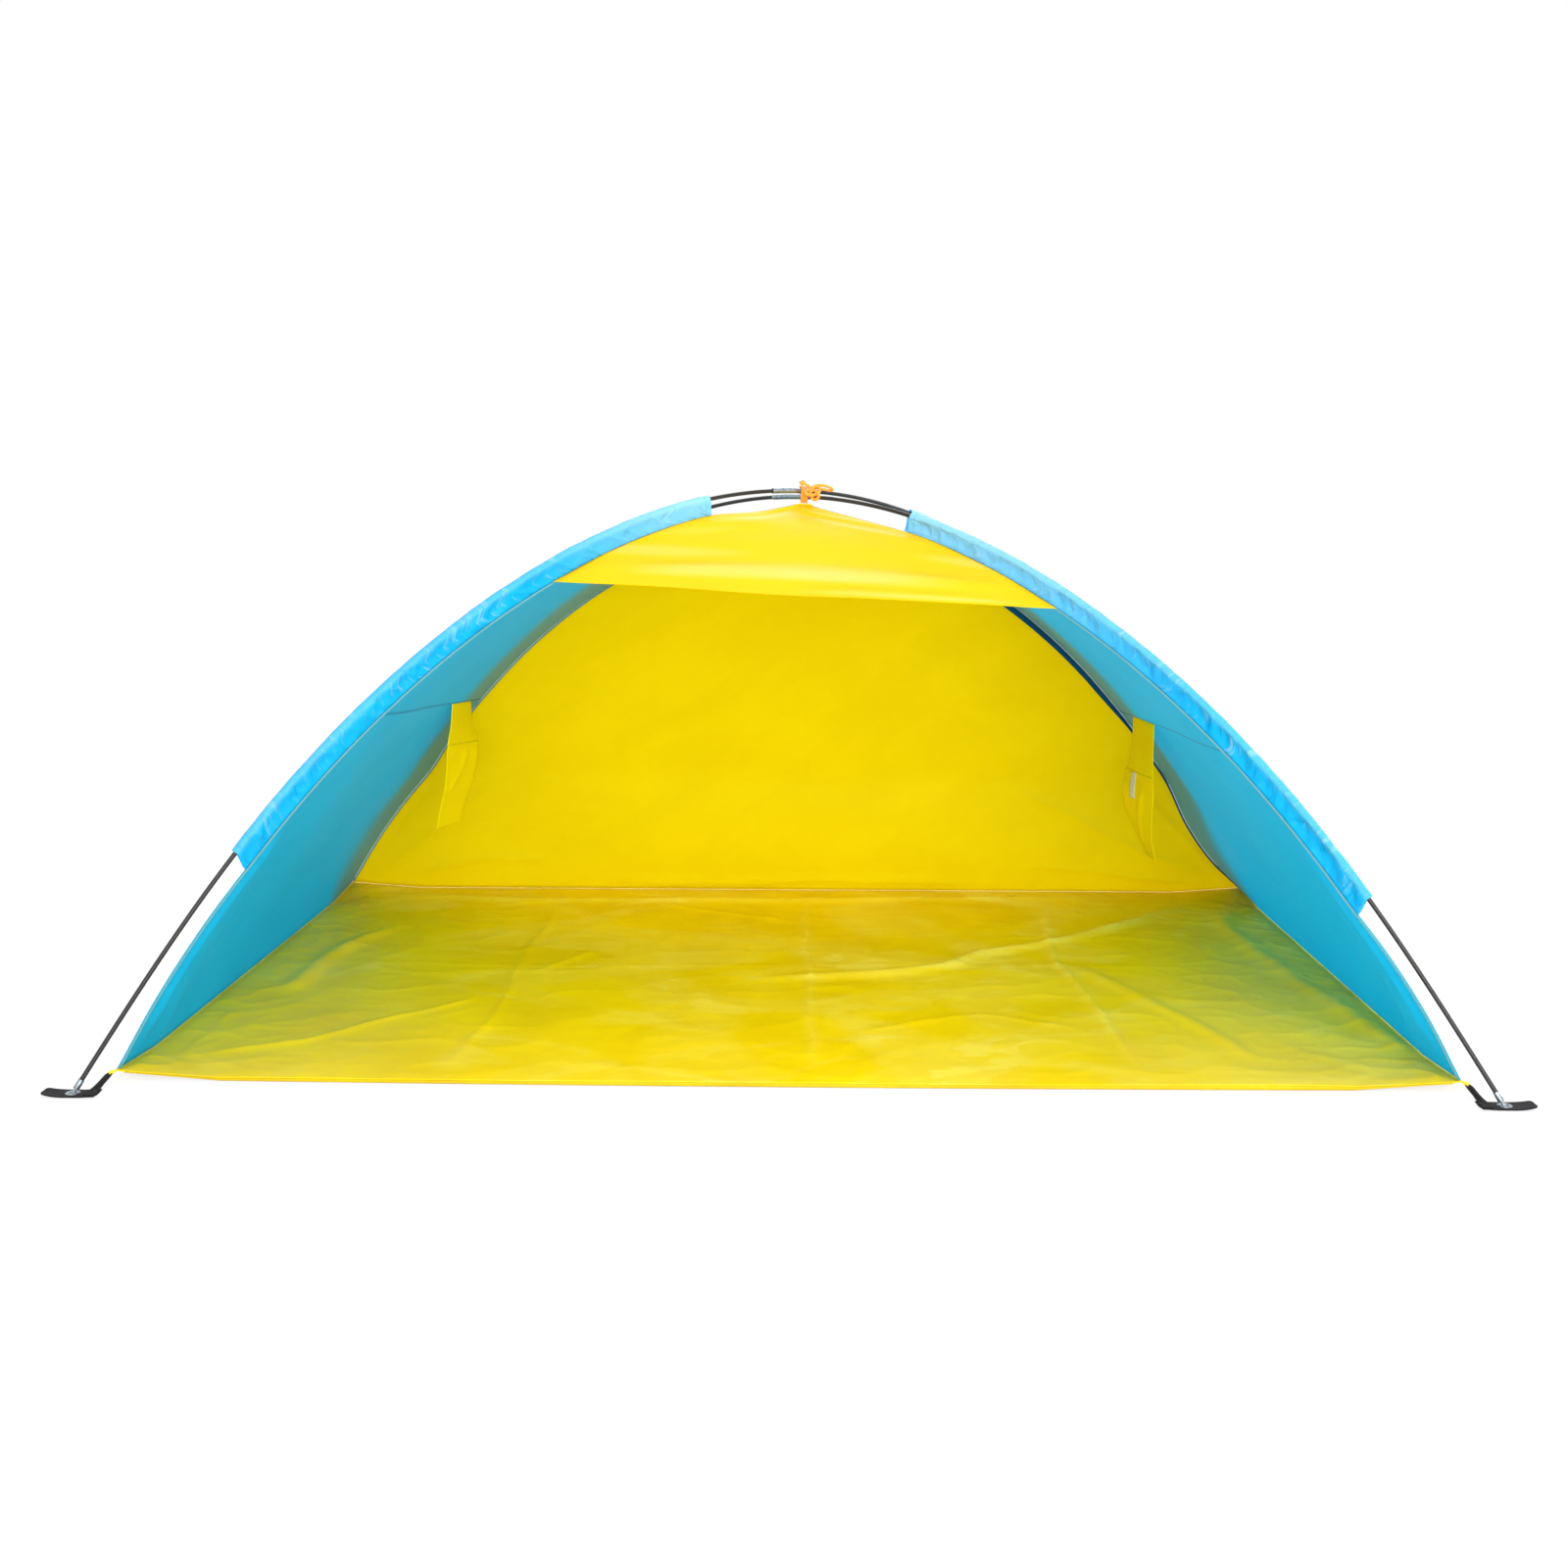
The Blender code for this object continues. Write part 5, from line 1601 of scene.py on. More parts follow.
    def make_hem(self, edge: Array) -> Piece:
        """Makes the doubled hem that hangs from the front edge to the ground, in a darker yellow of painted
        shade.

        Args:
            edge: The points of the front edge.

        Returns:
            The piece.
        """
        line = edge[self.hem_inset:-self.hem_inset]
        bottom = self.skeleton.floor_height(line[:, 0], line[:, 1]) + self.hem_clearance
        steps = np.linspace(0, 1, 6)[:, None]
        height = line[None, :, 2] + (bottom[None] - line[None, :, 2]) * steps
        depth = line[None, :, 1] - self.hem_offset - self.hem_bulge * np.sin(np.pi * steps)
        grid = spots(line[None, :, 0], depth, height)
        # The hem's finish is painted shade under the front edge.
        hem = cloth_solid("ground_front_hem", grid[::-1], self.hem_cloth, self.finishes.hem,
                          edge=run_lengths(grid, 0))
        return settle(hem, "yellow_cloth")


@dataclass
class Sleeves(Part):
    """The four blue sleeves that hold the hips to the poles, puckered by the pull of the cloth."""

    start_share: float = 0.132
    loop_radius: float = 0.0070
    loop_angle: float = math.radians(110)
    waist_half: float = 0.0032
    waist_depth: float = 0.014
    band_half: float = 0.0009
    wall: float = 0.0006
    rows: int = 460
    loop_steps: int = 17
    side_steps: int = 13
    seam_gap: float = 0.0005
    seam_margin: float = 0.004
    slant: float = 0.012
    slant_reach: float = 0.1
    mouth_reach: float = 0.03
    mouth_spread: float = 0.5
    pucker: Ripple = Ripple(70, 0.030, 0.050, 0.0034)
    crease: Ripple = Ripple(90, 0.045, 0.09)
    crease_height: float = 0.0030
    swell: Ripple = Ripple(110, 0.028, 0.5, 0.0007)
    gather: Ripple = Ripple(130, 0.013, 0.060, 0.0014)

    def outline(self, depth: float) -> Array:
        """Returns the sleeve's outline as distances across and out from the pole's middle.

        Args:
            depth: How far the seam lies inside the pole.

        Returns:
            The outline's points, once round.
        """
        turns = np.linspace(-self.loop_angle, self.loop_angle, self.loop_steps)
        loop = np.stack((np.sin(turns), np.cos(turns)), axis=-1) * (self.loop_radius - self.wall / 2)
        downs = np.linspace(0, 1, self.side_steps)[1:]
        start_x, start_y = loop[-1]
        waist = self.waist_half - self.wall / 2
        foot = self.band_half - self.wall / 2
        lows = start_y + (-depth + self.seam_gap + self.wall / 2 - start_y) * downs
        halves = np.interp(-lows, [-start_y, self.waist_depth, depth], [start_x, waist, foot])
        right = np.stack((halves, lows), axis=-1)
        left = right[::-1] * np.array([-1.0, 1.0])
        return np.concatenate((loop, right, left))

    def make(self, corner: Corner) -> Piece:
        """Makes one sleeve.

        Args:
            corner: The corner where it starts.

        Returns:
            The piece.
        """
        depth = self.skeleton.hip_depth(corner)
        end_share = SEWN[corner].end
        shares = np.linspace(self.start_share, end_share, self.rows) - self.skeleton.drop(corner)
        outline = self.outline(depth)
        length = (end_share - self.start_share) * self.skeleton.pole_length
        along = np.linspace(0, length, self.rows)[:, None]
        deep = np.maximum(0.0, -outline[None, :, 1])
        inner = deep / depth
        slant = self.slant * eased(inner)
        ends = np.where(along < self.slant_reach, -slant * eased(1 - along / self.slant_reach), 0.0)
        place = np.clip(shares[:, None] + ends / self.skeleton.pole_length, 0, 1)
        line, out, across = self.skeleton.corner_frame(corner, place)
        own = 3 * corner.side_x + corner.side_y
        pucker = self.pucker.at(along + deep * 0.6, deep, own)
        crease = 1 - np.abs(self.crease.at(along - deep * 0.8, deep, own)) * 2.2
        belly = np.sin(np.pi * np.clip(inner, 0, 1)) ** 0.7
        gather = self.gather.at(along + deep * 0.5, deep, own)
        sway = (pucker + self.crease_height * np.clip(crease, 0, 1) ** 2 + gather) * belly
        swell = self.swell.at(along, deep * 0, own)
        mouth = eased(along / self.mouth_reach) * eased((length - along) / self.mouth_reach)
        spread = self.mouth_spread * np.clip(inner * (1 - inner) * 4, 0, 1) * (1 - mouth)
        sideways = outline[None, :, 0] * (1 + spread) + sway * (0.35 + 0.65 * mouth)
        outward = outline[None, :, 1]
        outward = np.where(outward > 0, outward * (1 + swell / self.loop_radius), outward)
        grid = line + across * sideways[..., None] + out * outward[..., None]
        edge = np.minimum(along, length - along) + deep * 0
        seam = np.abs(depth - self.seam_gap - self.seam_margin - deep)
        piece = cloth_solid(f"{corner.label}_sleeve_cloth", grid, self.wall, self.finishes.sleeve, True,
                            edge=np.minimum(edge, seam + 0.010), fade=self.fade(corner, along / length, deep))
        settle(piece, "blue_cloth", f"{corner.label}_sleeve")
        return piece

    @staticmethod
    def fade(corner: Corner, share: Array, deep: Array) -> Array:
        """Returns how much painted highlight the sleeve gets, most of all at its top where light falls and
        along its outer fold.

        Args:
            corner: The sleeve's corner.
            share: Places along the sleeve, as shares.
            deep: How far each place lies inside the pole.

        Returns:
            The share of the painted highlight colour at each place.
        """
        reach = SEWN[corner].highlight_start
        # Painted reflection along the sleeve's outer fold.
        fold = np.exp(-((deep / 0.004) ** 2)) * 0.25
        return np.clip(eased((share - reach) / (1 - reach)) * 0.70 + fold, 0, 1)

    def build(self) -> list[Piece]:
        """Builds the four sleeves."""
        return [self.make(corner) for corner in Corner]


# Poles


@dataclass
class Poles(Part):
    """Both poles: hollow rods, steel ferrules, end caps with pins, and the elastic cord inside."""

    sections: int = 6
    diameter: float = 0.0070
    bore: float = 0.0040
    ferrule_length: float = 0.080
    ferrule_wall: float = 0.0008
    cap_wall: float = 0.0008
    cap_depth: float = 0.012
    cap_floor: float = 0.003
    pin_diameter: float = 0.0055
    pin_length: float = 0.009
    pin_point: float = 0.0015
    pin_point_share: float = 0.6
    cap_round: float = 0.0004
    rolled_lip: float = 0.00025
    sides: int = 24
    cap_sides: int = 32
    rod_steps: int = 60

    @property
    def end_room(self) -> float:
        """Returns the length of a cap below the rod's end."""
        return self.pin_length + self.cap_floor + self.skeleton.seat_gap

    def joint_place(self, index: int) -> float:
        """Returns the length along a pole where a section starts."""
        step = (self.skeleton.pole_length - 2 * self.end_room) / self.sections
        return self.end_room + index * step

    def tube(self, name: str, pole: str, places: Array, radii: Array, wall: float,
             material: Material) -> Piece:
        """Makes a hollow tube along a pole.

        Args:
            name: The piece's name.
            pole: The pole's letter.
            places: Lengths along the pole.
            radii: The outer radius at each.
            wall: The tube's wall.
            material: Its finish.

        Returns:
            The piece.
        """
        line, out, across = self.skeleton.pole_frame(pole, places / self.skeleton.pole_length)
        grid = ring_grid(line, out, across, np.asarray(radii) - wall / 2, self.sides)
        return cloth_solid(name, grid, wall, material, True)

    def make_sections(self, pole: str) -> list[Piece]:
        """Makes a pole's rods."""
        made = []
        for index in range(self.sections):
            low = self.joint_place(index) + self.skeleton.seat_gap / 2
            high = self.joint_place(index + 1) - self.skeleton.seat_gap / 2
            places = np.linspace(low, high, self.rod_steps)
            radii = np.full(self.rod_steps, self.diameter / 2)
            rod = self.tube(f"rod_{pole}_{index + 1}", pole, places, radii, (self.diameter - self.bore) / 2,
                            self.finishes.rod)
            made.append(settle(rod, "fibreglass", f"pole_{pole}_section_{index + 1}"))
        return made

    def make_ferrules(self, pole: str) -> list[Piece]:
        """Makes the steel tubes over a pole's joints, with rolled ends."""
        made = []
        half = self.ferrule_length / 2
        for index in range(1, self.sections):
            lip = np.array([half, half - 0.0008, half - 0.002])
            steps = np.array([*-lip, *np.linspace(-half + 0.006, half - 0.006, 15), *lip[::-1]])
            places = steps + self.joint_place(index)
            radii = np.full(len(places), self.skeleton.ferrule_radius)
            radii[[0, -1]] -= self.rolled_lip
            tube = self.tube(f"ferrule_{pole}_{index}", pole, places, radii, self.ferrule_wall,
                             self.finishes.steel)
            made.append(settle(tube, "steel", f"pole_{pole}_ferrule_{index}"))
        return made

    def make_cap(self, pole: str, end: str) -> Piece:
        """Makes the cap and pin on one end of a pole.

        Args:
            pole: The pole's letter.
            end: Front or rear.

        Returns:
            The piece.
        """
        bore = self.diameter / 2 + self.skeleton.seat_gap
        outer, pin = bore + self.cap_wall, self.pin_diameter / 2
        floor = self.pin_length + self.cap_floor
        profile = rounded([
            (0.0, floor), (bore, floor), (bore, floor + self.cap_depth), (outer, floor + self.cap_depth),
            (outer, self.pin_length), (pin, self.pin_length), (pin, self.pin_point),
            (pin * self.pin_point_share, 0.0), (0.0, 0.0),
        ], self.cap_round, False)
        share, sense = (0.0, 1) if end == "front" else (1.0, -1)
        line, out, across = self.skeleton.pole_frame(pole, np.array([share]))
        along = np.cross(out[0], across[0]) * sense
        turn = Vector(along).to_track_quat("Z", "Y").to_matrix().to_4x4()
        cap = turned(f"cap_{pole}_{end}", profile, self.cap_sides, False, self.finishes.steel,
                     Matrix.Translation(line[0]) @ turn)
        return settle(cap, "steel", f"pole_{pole}_{end}_cap")

    def build(self) -> list[Piece]:
        """Builds both poles."""
        made = []
        for pole in "ab":
            made += self.make_sections(pole) + self.make_ferrules(pole)
            made += [self.make_cap(pole, end) for end in ("front", "rear")]
            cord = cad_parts[f"pole_{pole}_shock_cord"]
            cord.data.materials.clear()
            cord.data.materials.append(self.finishes.elastic)
        return made


# Corners


@dataclass
class Anchors(Part):
    """What holds each pole's foot: the folded webbing strap, its free end, the eyelet and the yellow tab."""

    strap_width: float = 0.030
    thickness: float = 0.0018
    fold_inset: float = 0.006
    tail_length: float = 0.032
    tail_end_width: float = 0.024
    tail_curl: float = 0.0034
    tail_cup: float = 0.0010
    tip_start: float = 0.86
    tip_round: float = 0.86
    tab_width: float = 0.010
    tab_length: float = 0.016
    tab_thickness: float = 0.0014
    bore: float = 0.0118
    barrel: float = 0.0144
    flange: float = 0.0210
    flange_thickness: float = 0.0007
    eye_round: float = 0.0003
    eye_sides: int = 48
    base_columns: int = 15
    base_rows: int = 30
    dent: float = 0.0006
    arm_rows: int = 44
    arm_pleat: float = 0.0009

    @property
    def lift(self) -> float:
        """Returns the height of the strap's underside."""
        return self.flange_thickness + self.skeleton.seat_gap

    @property
    def eye_height(self) -> float:
        """Returns the eyelet's height."""
        return 2 * self.flange_thickness + 2 * self.skeleton.seat_gap + self.thickness

    def eye(self) -> tuple[float, float]:
        """Returns where the eyelet's middle lies, as distances out from the foot."""
        back = (self.eye_height / 2 - self.skeleton.foot_lift) / math.tan(self.skeleton.end_angle)
        reach = math.hypot(self.skeleton.foot_x, self.skeleton.foot_y)
        return -back * self.skeleton.foot_x / reach, -back * self.skeleton.foot_y / reach

    def placed(self, corner: Corner, points: Array) -> Array:
        """Returns the places of points that are given as distances out in X, out in Y and up from a foot."""
        foot = np.array([self.skeleton.foot_x, self.skeleton.foot_y, 0.0])
        return (points + foot) * np.array([corner.side_x, corner.side_y, 1.0])

    @staticmethod
    def upright(corner: Corner, grid: Array) -> Array:
        """Returns a grid with its columns turned round where a corner's mirror has turned its face down."""
        return grid if corner.side_x * corner.side_y > 0 else grid[:, ::-1]

    def make_strap(self, corner: Corner) -> Piece:
        """Makes a strap: flat round the eyelet, then drawn into a narrow arm up to the floor's corner.

        Args:
            corner: The corner.

        Returns:
            The piece.
        """
        eye_x, eye_y = self.eye()
        half = self.strap_width / 2
        inner = -self.skeleton.foot_reach_x - self.fold_inset
        outer = eye_x + self.flange / 2 + self.skeleton.seat_gap
        tab_y = -self.skeleton.foot_reach_y + self.tab_length
        arm_top = self.skeleton.corner_rise + self.skeleton.floor_cloth / 2
        low = self.lift + self.thickness / 2
        shares = np.linspace(0, 1, self.base_columns)
        rows = []
        for step in np.linspace(0, 1, self.base_rows):
            back = eye_y + half - self.strap_width * step
            sunk = self.dent * math.cos(step * 2 * math.pi)
            rows.append(spots(inner + (outer - inner) * shares, back,
                              low + (self.dent + sunk) * np.exp(-((shares * 3) ** 2))))
        flat = self.upright(corner, self.placed(corner, np.array(rows)))
        base = cloth_solid(f"{corner.label}_strap_webbing", flat, self.thickness, self.finishes.webbing)
        self.punch(base, self.placed(corner, np.array([eye_x, eye_y, 0.0])))
        settle(base, "webbing", f"{corner.label}_strap")
        rows = []
        start = np.array([inner + 0.0085, eye_y + half * 0.86, low + self.thickness + 0.0002])
        bend = np.array([inner + 0.0065, eye_y - half * 0.55, low + self.thickness + 0.0022])
        top = np.array([-self.skeleton.foot_reach_x, tab_y - 0.002, arm_top])
        places = np.linspace(0, 3, self.arm_rows)
        route = smooth_through(np.array([start, bend, (bend + top) / 2, top]), places)
        widths = np.interp(places, [0, 0.5, 1.1, 2.0, 3.0], [0.015, 0.0145, 0.0105, 0.0088, 0.0094])
        lean = np.interp(places, [0, 0.6, 1.4, 2.6, 3.0], [0.0, 0.05, 0.75, 0.45, 0.0])
        across = spots(np.cos(lean), 0.0, np.sin(lean))
        spread = np.linspace(-0.5, 0.5, 11)
        pleat = self.arm_pleat * np.sin(spread * 3 * np.pi)[None, :] * eased(places - 0.4)[:, None]
        arm = route[:, None, :] + across[:, None, :] * (spread[None, :] * widths[:, None])[..., None]
        arm[..., 2] += pleat
        arm = self.upright(corner, self.placed(corner, arm))
        strip = cloth_solid(f"{corner.label}_strap_arm", arm, self.thickness, self.finishes.webbing)
        settle(strip, "webbing")
        return base

    def punch(self, piece: Piece, place: Array) -> None:
        """Cuts the eyelet's hole through a strap.

        Args:
            piece: The strap.
            place: The hole's middle on the ground.
        """
        hole = bmesh.new()
        radius = self.barrel / 2 + self.skeleton.seat_gap
        bmesh.ops.create_cone(hole, cap_ends=True, segments=40, radius1=radius, radius2=radius,
                              depth=4 * self.eye_height, matrix=Matrix.Translation(place))
        mesh = bpy.data.meshes.new(f"{piece.name}_hole")
        hole.to_mesh(mesh)
        hole.free()
        cutter = linked(mesh.name, mesh)
        cut = piece.modifiers.new("hole", "BOOLEAN")
        cut.operation = "DIFFERENCE"
        cut.object = cutter
        bpy.context.view_layer.update()
        done = piece.evaluated_get(bpy.context.evaluated_depsgraph_get())
        cut_mesh = bpy.data.meshes.new_from_object(done)
        piece.modifiers.clear()
        piece.data = cut_mesh
        bpy.data.objects.remove(cutter)

    def make_tail(self, corner: Corner) -> Piece:
        """Makes a strap's free end, with a rounded tip that curls up a little.

        Args:
            corner: The corner.

        Returns:
            The piece.
        """
        eye_x, eye_y = self.eye()
        start = eye_x + self.flange / 2 + 2 * self.skeleton.seat_gap
        shares = np.linspace(0, 1, 40)[:, None]
        across = np.linspace(-0.5, 0.5, 13)[None, :]
        width = self.strap_width + (self.tail_end_width - self.strap_width) * shares**2
        tip = np.clip((shares - self.tip_start) / (1 - self.tip_start), 0, 1)
        width = width * np.sqrt(np.clip(1 - (tip * self.tip_round) ** 2, 0, 1))
        low = self.lift + self.thickness / 2
        height = low + self.tail_curl * shares**2.5 + self.tail_cup * (2 * across) ** 2 * shares
        grid = spots(start + self.tail_length * shares, eye_y + across * width, height)
        grid = self.upright(corner, self.placed(corner, grid))
        piece = cloth_solid(f"{corner.label}_tail_webbing", grid, self.thickness, self.finishes.webbing)
        return settle(piece, "webbing", f"{corner.label}_strap_tail", body=f"{corner.label}_tail")

    def make_eyelet(self, corner: Corner) -> Piece:
        """Makes an eyelet with rolled lips.

        Args:
            corner: The corner.

        Returns:
            The piece.
        """
        bore, barrel, flange = self.bore / 2, self.barrel / 2, self.flange / 2
        top, lip = self.eye_height, self.flange_thickness
        profile = rounded([(flange, top - 0.0002), (flange, top - lip), (barrel, top - lip), (barrel, lip),
                           (flange, lip), (flange, 0.0002), (bore + 0.001, 0.0), (bore, 0.0008),
                           (bore, top - 0.0008), (bore + 0.001, top)], self.eye_round, True)
        place = self.placed(corner, np.array([*self.eye(), 0.0]))
        piece = turned(f"{corner.label}_eye", profile, self.eye_sides, True, self.finishes.steel,
                       Matrix.Translation(place))
        return settle(piece, "steel", f"{corner.label}_eyelet")

    def make_tab(self, corner: Corner) -> Piece:
        """Makes the yellow tab between a strap and the floor's corner.

        Args:
            corner: The corner.

        Returns:
            The piece.
        """
        low = self.skeleton.seat_gap
        reach = np.linspace(low, self.tab_length - low, 12)[:, None]
        across = np.linspace(-0.5, 0.5, 9)[None, :]
        bow = np.sin(np.pi * reach / self.tab_length)
        rise = self.skeleton.corner_rise + self.skeleton.floor_cloth / 2
        height = rise + self.dent * np.cos(across * 3 * np.pi) * bow
        width = self.tab_width * (1 - 0.18 * bow)
        level = corner.side_x * self.skeleton.floor_width / 2 + across * width
        grid = spots(level, corner.side_y * (self.skeleton.floor_depth / 2 + reach), height)
        if corner.side_y < 0:
            grid = grid[:, ::-1]
        piece = cloth_solid(f"{corner.label}_tab_cloth", grid, self.tab_thickness, self.finishes.trim,
                            edge=flat_places(grid)[2])
        return settle(piece, "yellow_cloth", f"{corner.label}_tab")

    def build(self) -> list[Piece]:
        """Builds the four corners."""
        makers = (self.make_strap, self.make_tail, self.make_eyelet, self.make_tab)
        return [make(corner) for corner in Corner for make in makers]


# Hanging flaps


@dataclass(frozen=True)
class Hang:
    """How one flap hangs.

    Attributes:
        upper_length: The length of its upper part.
        taper: The width of its lower end, as a share of its upper end.
        first: Where it starts along the side panel's seam, as a share.
        last: Where it ends there.
        lean: How far it leans towards the panel, from its top to its end.
        turn: How far its rear edge turns into the tent, from its top to its end.
    """

    upper_length: float
    taper: float
    first: float
    last: float
    lean: tuple[float, ...]
    turn: tuple[float, ...]


@dataclass
class Flaps:
    """The yellow flaps that hang from the side panels' cross seams, each in two parts, one with hook tape."""

    canopy: Canopy
    finishes: Finishes
    cloth: float = 0.0012
    side_inset: float = 0.006
    seam_gap: float = 0.0005
    fold_gap: float = 0.00065
    lower_length: float = 0.167
    hook_thickness: float = 0.0010
    hook_gap: float = 0.0002
    hook_rows: tuple[int, int] = (1, 21)
    hook_columns: tuple[int, int] = (19, 25)
    swell: Ripple = Ripple(81, 0.05, 0.07, 0.0010)
    fold_bead: float = 0.0011
    bead_width: float = 0.011
    bead_edge: float = 0.002
    columns: int = 33

    def hang(self, side: Side) -> Hang:
        """Returns how the flap on a side hangs."""
        if side is Side.LEFT:
            return Hang(0.080, 0.56, 0.66, 0.89, (0.0, 0.001, 0.0, 0.003, 0.011, 0.024, 0.034),
                        (0.0, 0.003, 0.012, 0.014, 0.013, 0.012, 0.012))
        return Hang(0.103, 0.50, 0.61, 0.85, (0.0, 0.0, -0.002, -0.006, -0.003, 0.008, 0.024),
                    (0.0, 0.0, 0.003, 0.012, 0.011, 0.004, 0.0))

    def hinge(self, side: Side) -> tuple[Array, Array]:
        """Returns the ends of a flap's seam line beside the panel's inner face.

        Args:
            side: The side.

        Returns:
            The front end and the rear end.
        """
        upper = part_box(f"{side.label}_flap_upper")
        hang, canopy = self.hang(side), self.canopy
        start, end = (canopy.edges(corner, 1)[canopy.seam_row] for corner in (side.front, side.rear))
        front, rear = start + (end - start) * hang.first, start + (end - start) * hang.last
        along = unit(rear - front)
        seat = np.array([(upper[0].x + upper[1].x - front[0] - rear[0]) / 2, 0.0,
                         upper[1].z - max(front[2], rear[2])])
        return front + along * self.side_inset + seat, rear - along * self.side_inset + seat

    def surface(self, side: Side, start: float, length: float, taper: float, rows: int) -> Array:
        """Builds one part of a flap.

        Args:
            side: The side.
            start: How far down the flap the part starts.
            length: The part's length.
            taper: The width of its lower end, as a share of its upper end.
            rows: How many points lie down it.

        Returns:
            Rows and columns of points, from the top down.
        """
        hang = self.hang(side)
        front, rear = self.hinge(side)
        along = unit(rear - front)
        inward = unit(np.cross(along, UP))
        inward *= -side.sense * np.sign(inward[0])
        down = np.linspace(0, 1, rows)
        whole = hang.upper_length + self.fold_gap + self.lower_length
        share = (start + length * down) / whole * (len(hang.lean) - 1)
        lean = smooth_through(np.array(hang.lean)[:, None], share)
        turn = smooth_through(np.array(hang.turn)[:, None], share)
        across = np.linspace(-1, 1, self.columns)[None, :]
        width = np.linalg.norm(rear - front) / 2 * (1 + (taper - 1) * down[:, None])
        middle = (front + rear) / 2 - np.array([0.0, 0.0, start])
        grid = middle + along * (across * width)[..., None] + inward * (turn * across - lean)[..., None]
        return grid - UP * (length * down[:, None] + 0 * across)[..., None]

    def make(self, side: Side) -> list[Piece]:
        """Makes both parts of a flap.

        Args:
            side: The side.

        Returns:
            The pieces.
        """
        hang = self.hang(side)
        parts = (("upper", 0.0, hang.upper_length, 1.0, 30),
                 ("lower", hang.upper_length + self.fold_gap, self.lower_length, hang.taper, 64))
        made = []
        for part, start, length, end, rows in parts:
            grid = self.surface(side, start, length, end, rows)
            across, up, edge = flat_places(grid)
            lift = self.swell.at(across, up, side.sense) * eased(edge / 0.01)
            if part == "lower":
                lift = lift + self.creases(side, across, up) * eased(edge / 0.008)
                bead = eased(up / self.bead_edge) * eased((self.bead_width - up) / self.bead_edge)
                lift = lift + self.fold_bead * bead
            lift *= eased(up / self.bead_edge)
            grid = raised(grid, lift, 0, -side.sense)
            piece = cloth_solid(f"{side.label}_flap_{part}_cloth", grid, self.cloth, self.finishes.flap,
                                edge=edge)
            node = f"{side.label}_flap_{part}"
            settle(piece, "yellow_cloth", node, body=node)
            width = float(across[0, -1])
            width * length * (1 + end) / 2
            made.append(piece)
        if side is Side.RIGHT:
            made.append(self.make_hooks(grid))
        return made

    @staticmethod
    def creases(side: Side, across: Array, up: Array) -> Array:
        """Returns the slanting fold across a flap's lower part.

        Args:
            side: The side.
            across: Places along its width.
            up: Places down its length.

        Returns:
            The lift of each place.
        """
        fold = {
            Side.LEFT: Fold(((0.124, 0.006), (0.070, 0.055), (0.014, 0.104)),
                            0.010, 0.0040, True, 0.002, 85),
            Side.RIGHT: Fold(((0.060, 0.020), (0.075, 0.090), (0.060, 0.160)),
                             0.012, 0.0035, False, 0.003, 86),
        }[side]
        return fold.lift(across, up)

    def make_hooks(self, flap: Array) -> Piece:
        """Makes the strip of white hook tape on the right flap's inner face.

        Args:
            flap: The surface of the flap's lower part.

        Returns:
            The piece.
        """
        patch = flap[slice(*self.hook_rows), slice(*self.hook_columns)]
        proud = np.full(patch.shape[:2], self.cloth / 2 + self.hook_thickness / 2 + self.hook_gap)
        grid = raised(patch, proud, 0, -1)
        piece = cloth_solid("hook_tape_strip", grid, self.hook_thickness, self.finishes.hooks)
        return settle(piece, "white_patch", "right_flap_patch", body="right_flap_lower")

    def build(self) -> list[Piece]:
        """Builds both flaps."""
        return self.make(Side.LEFT) + self.make(Side.RIGHT)


# Top of the tent


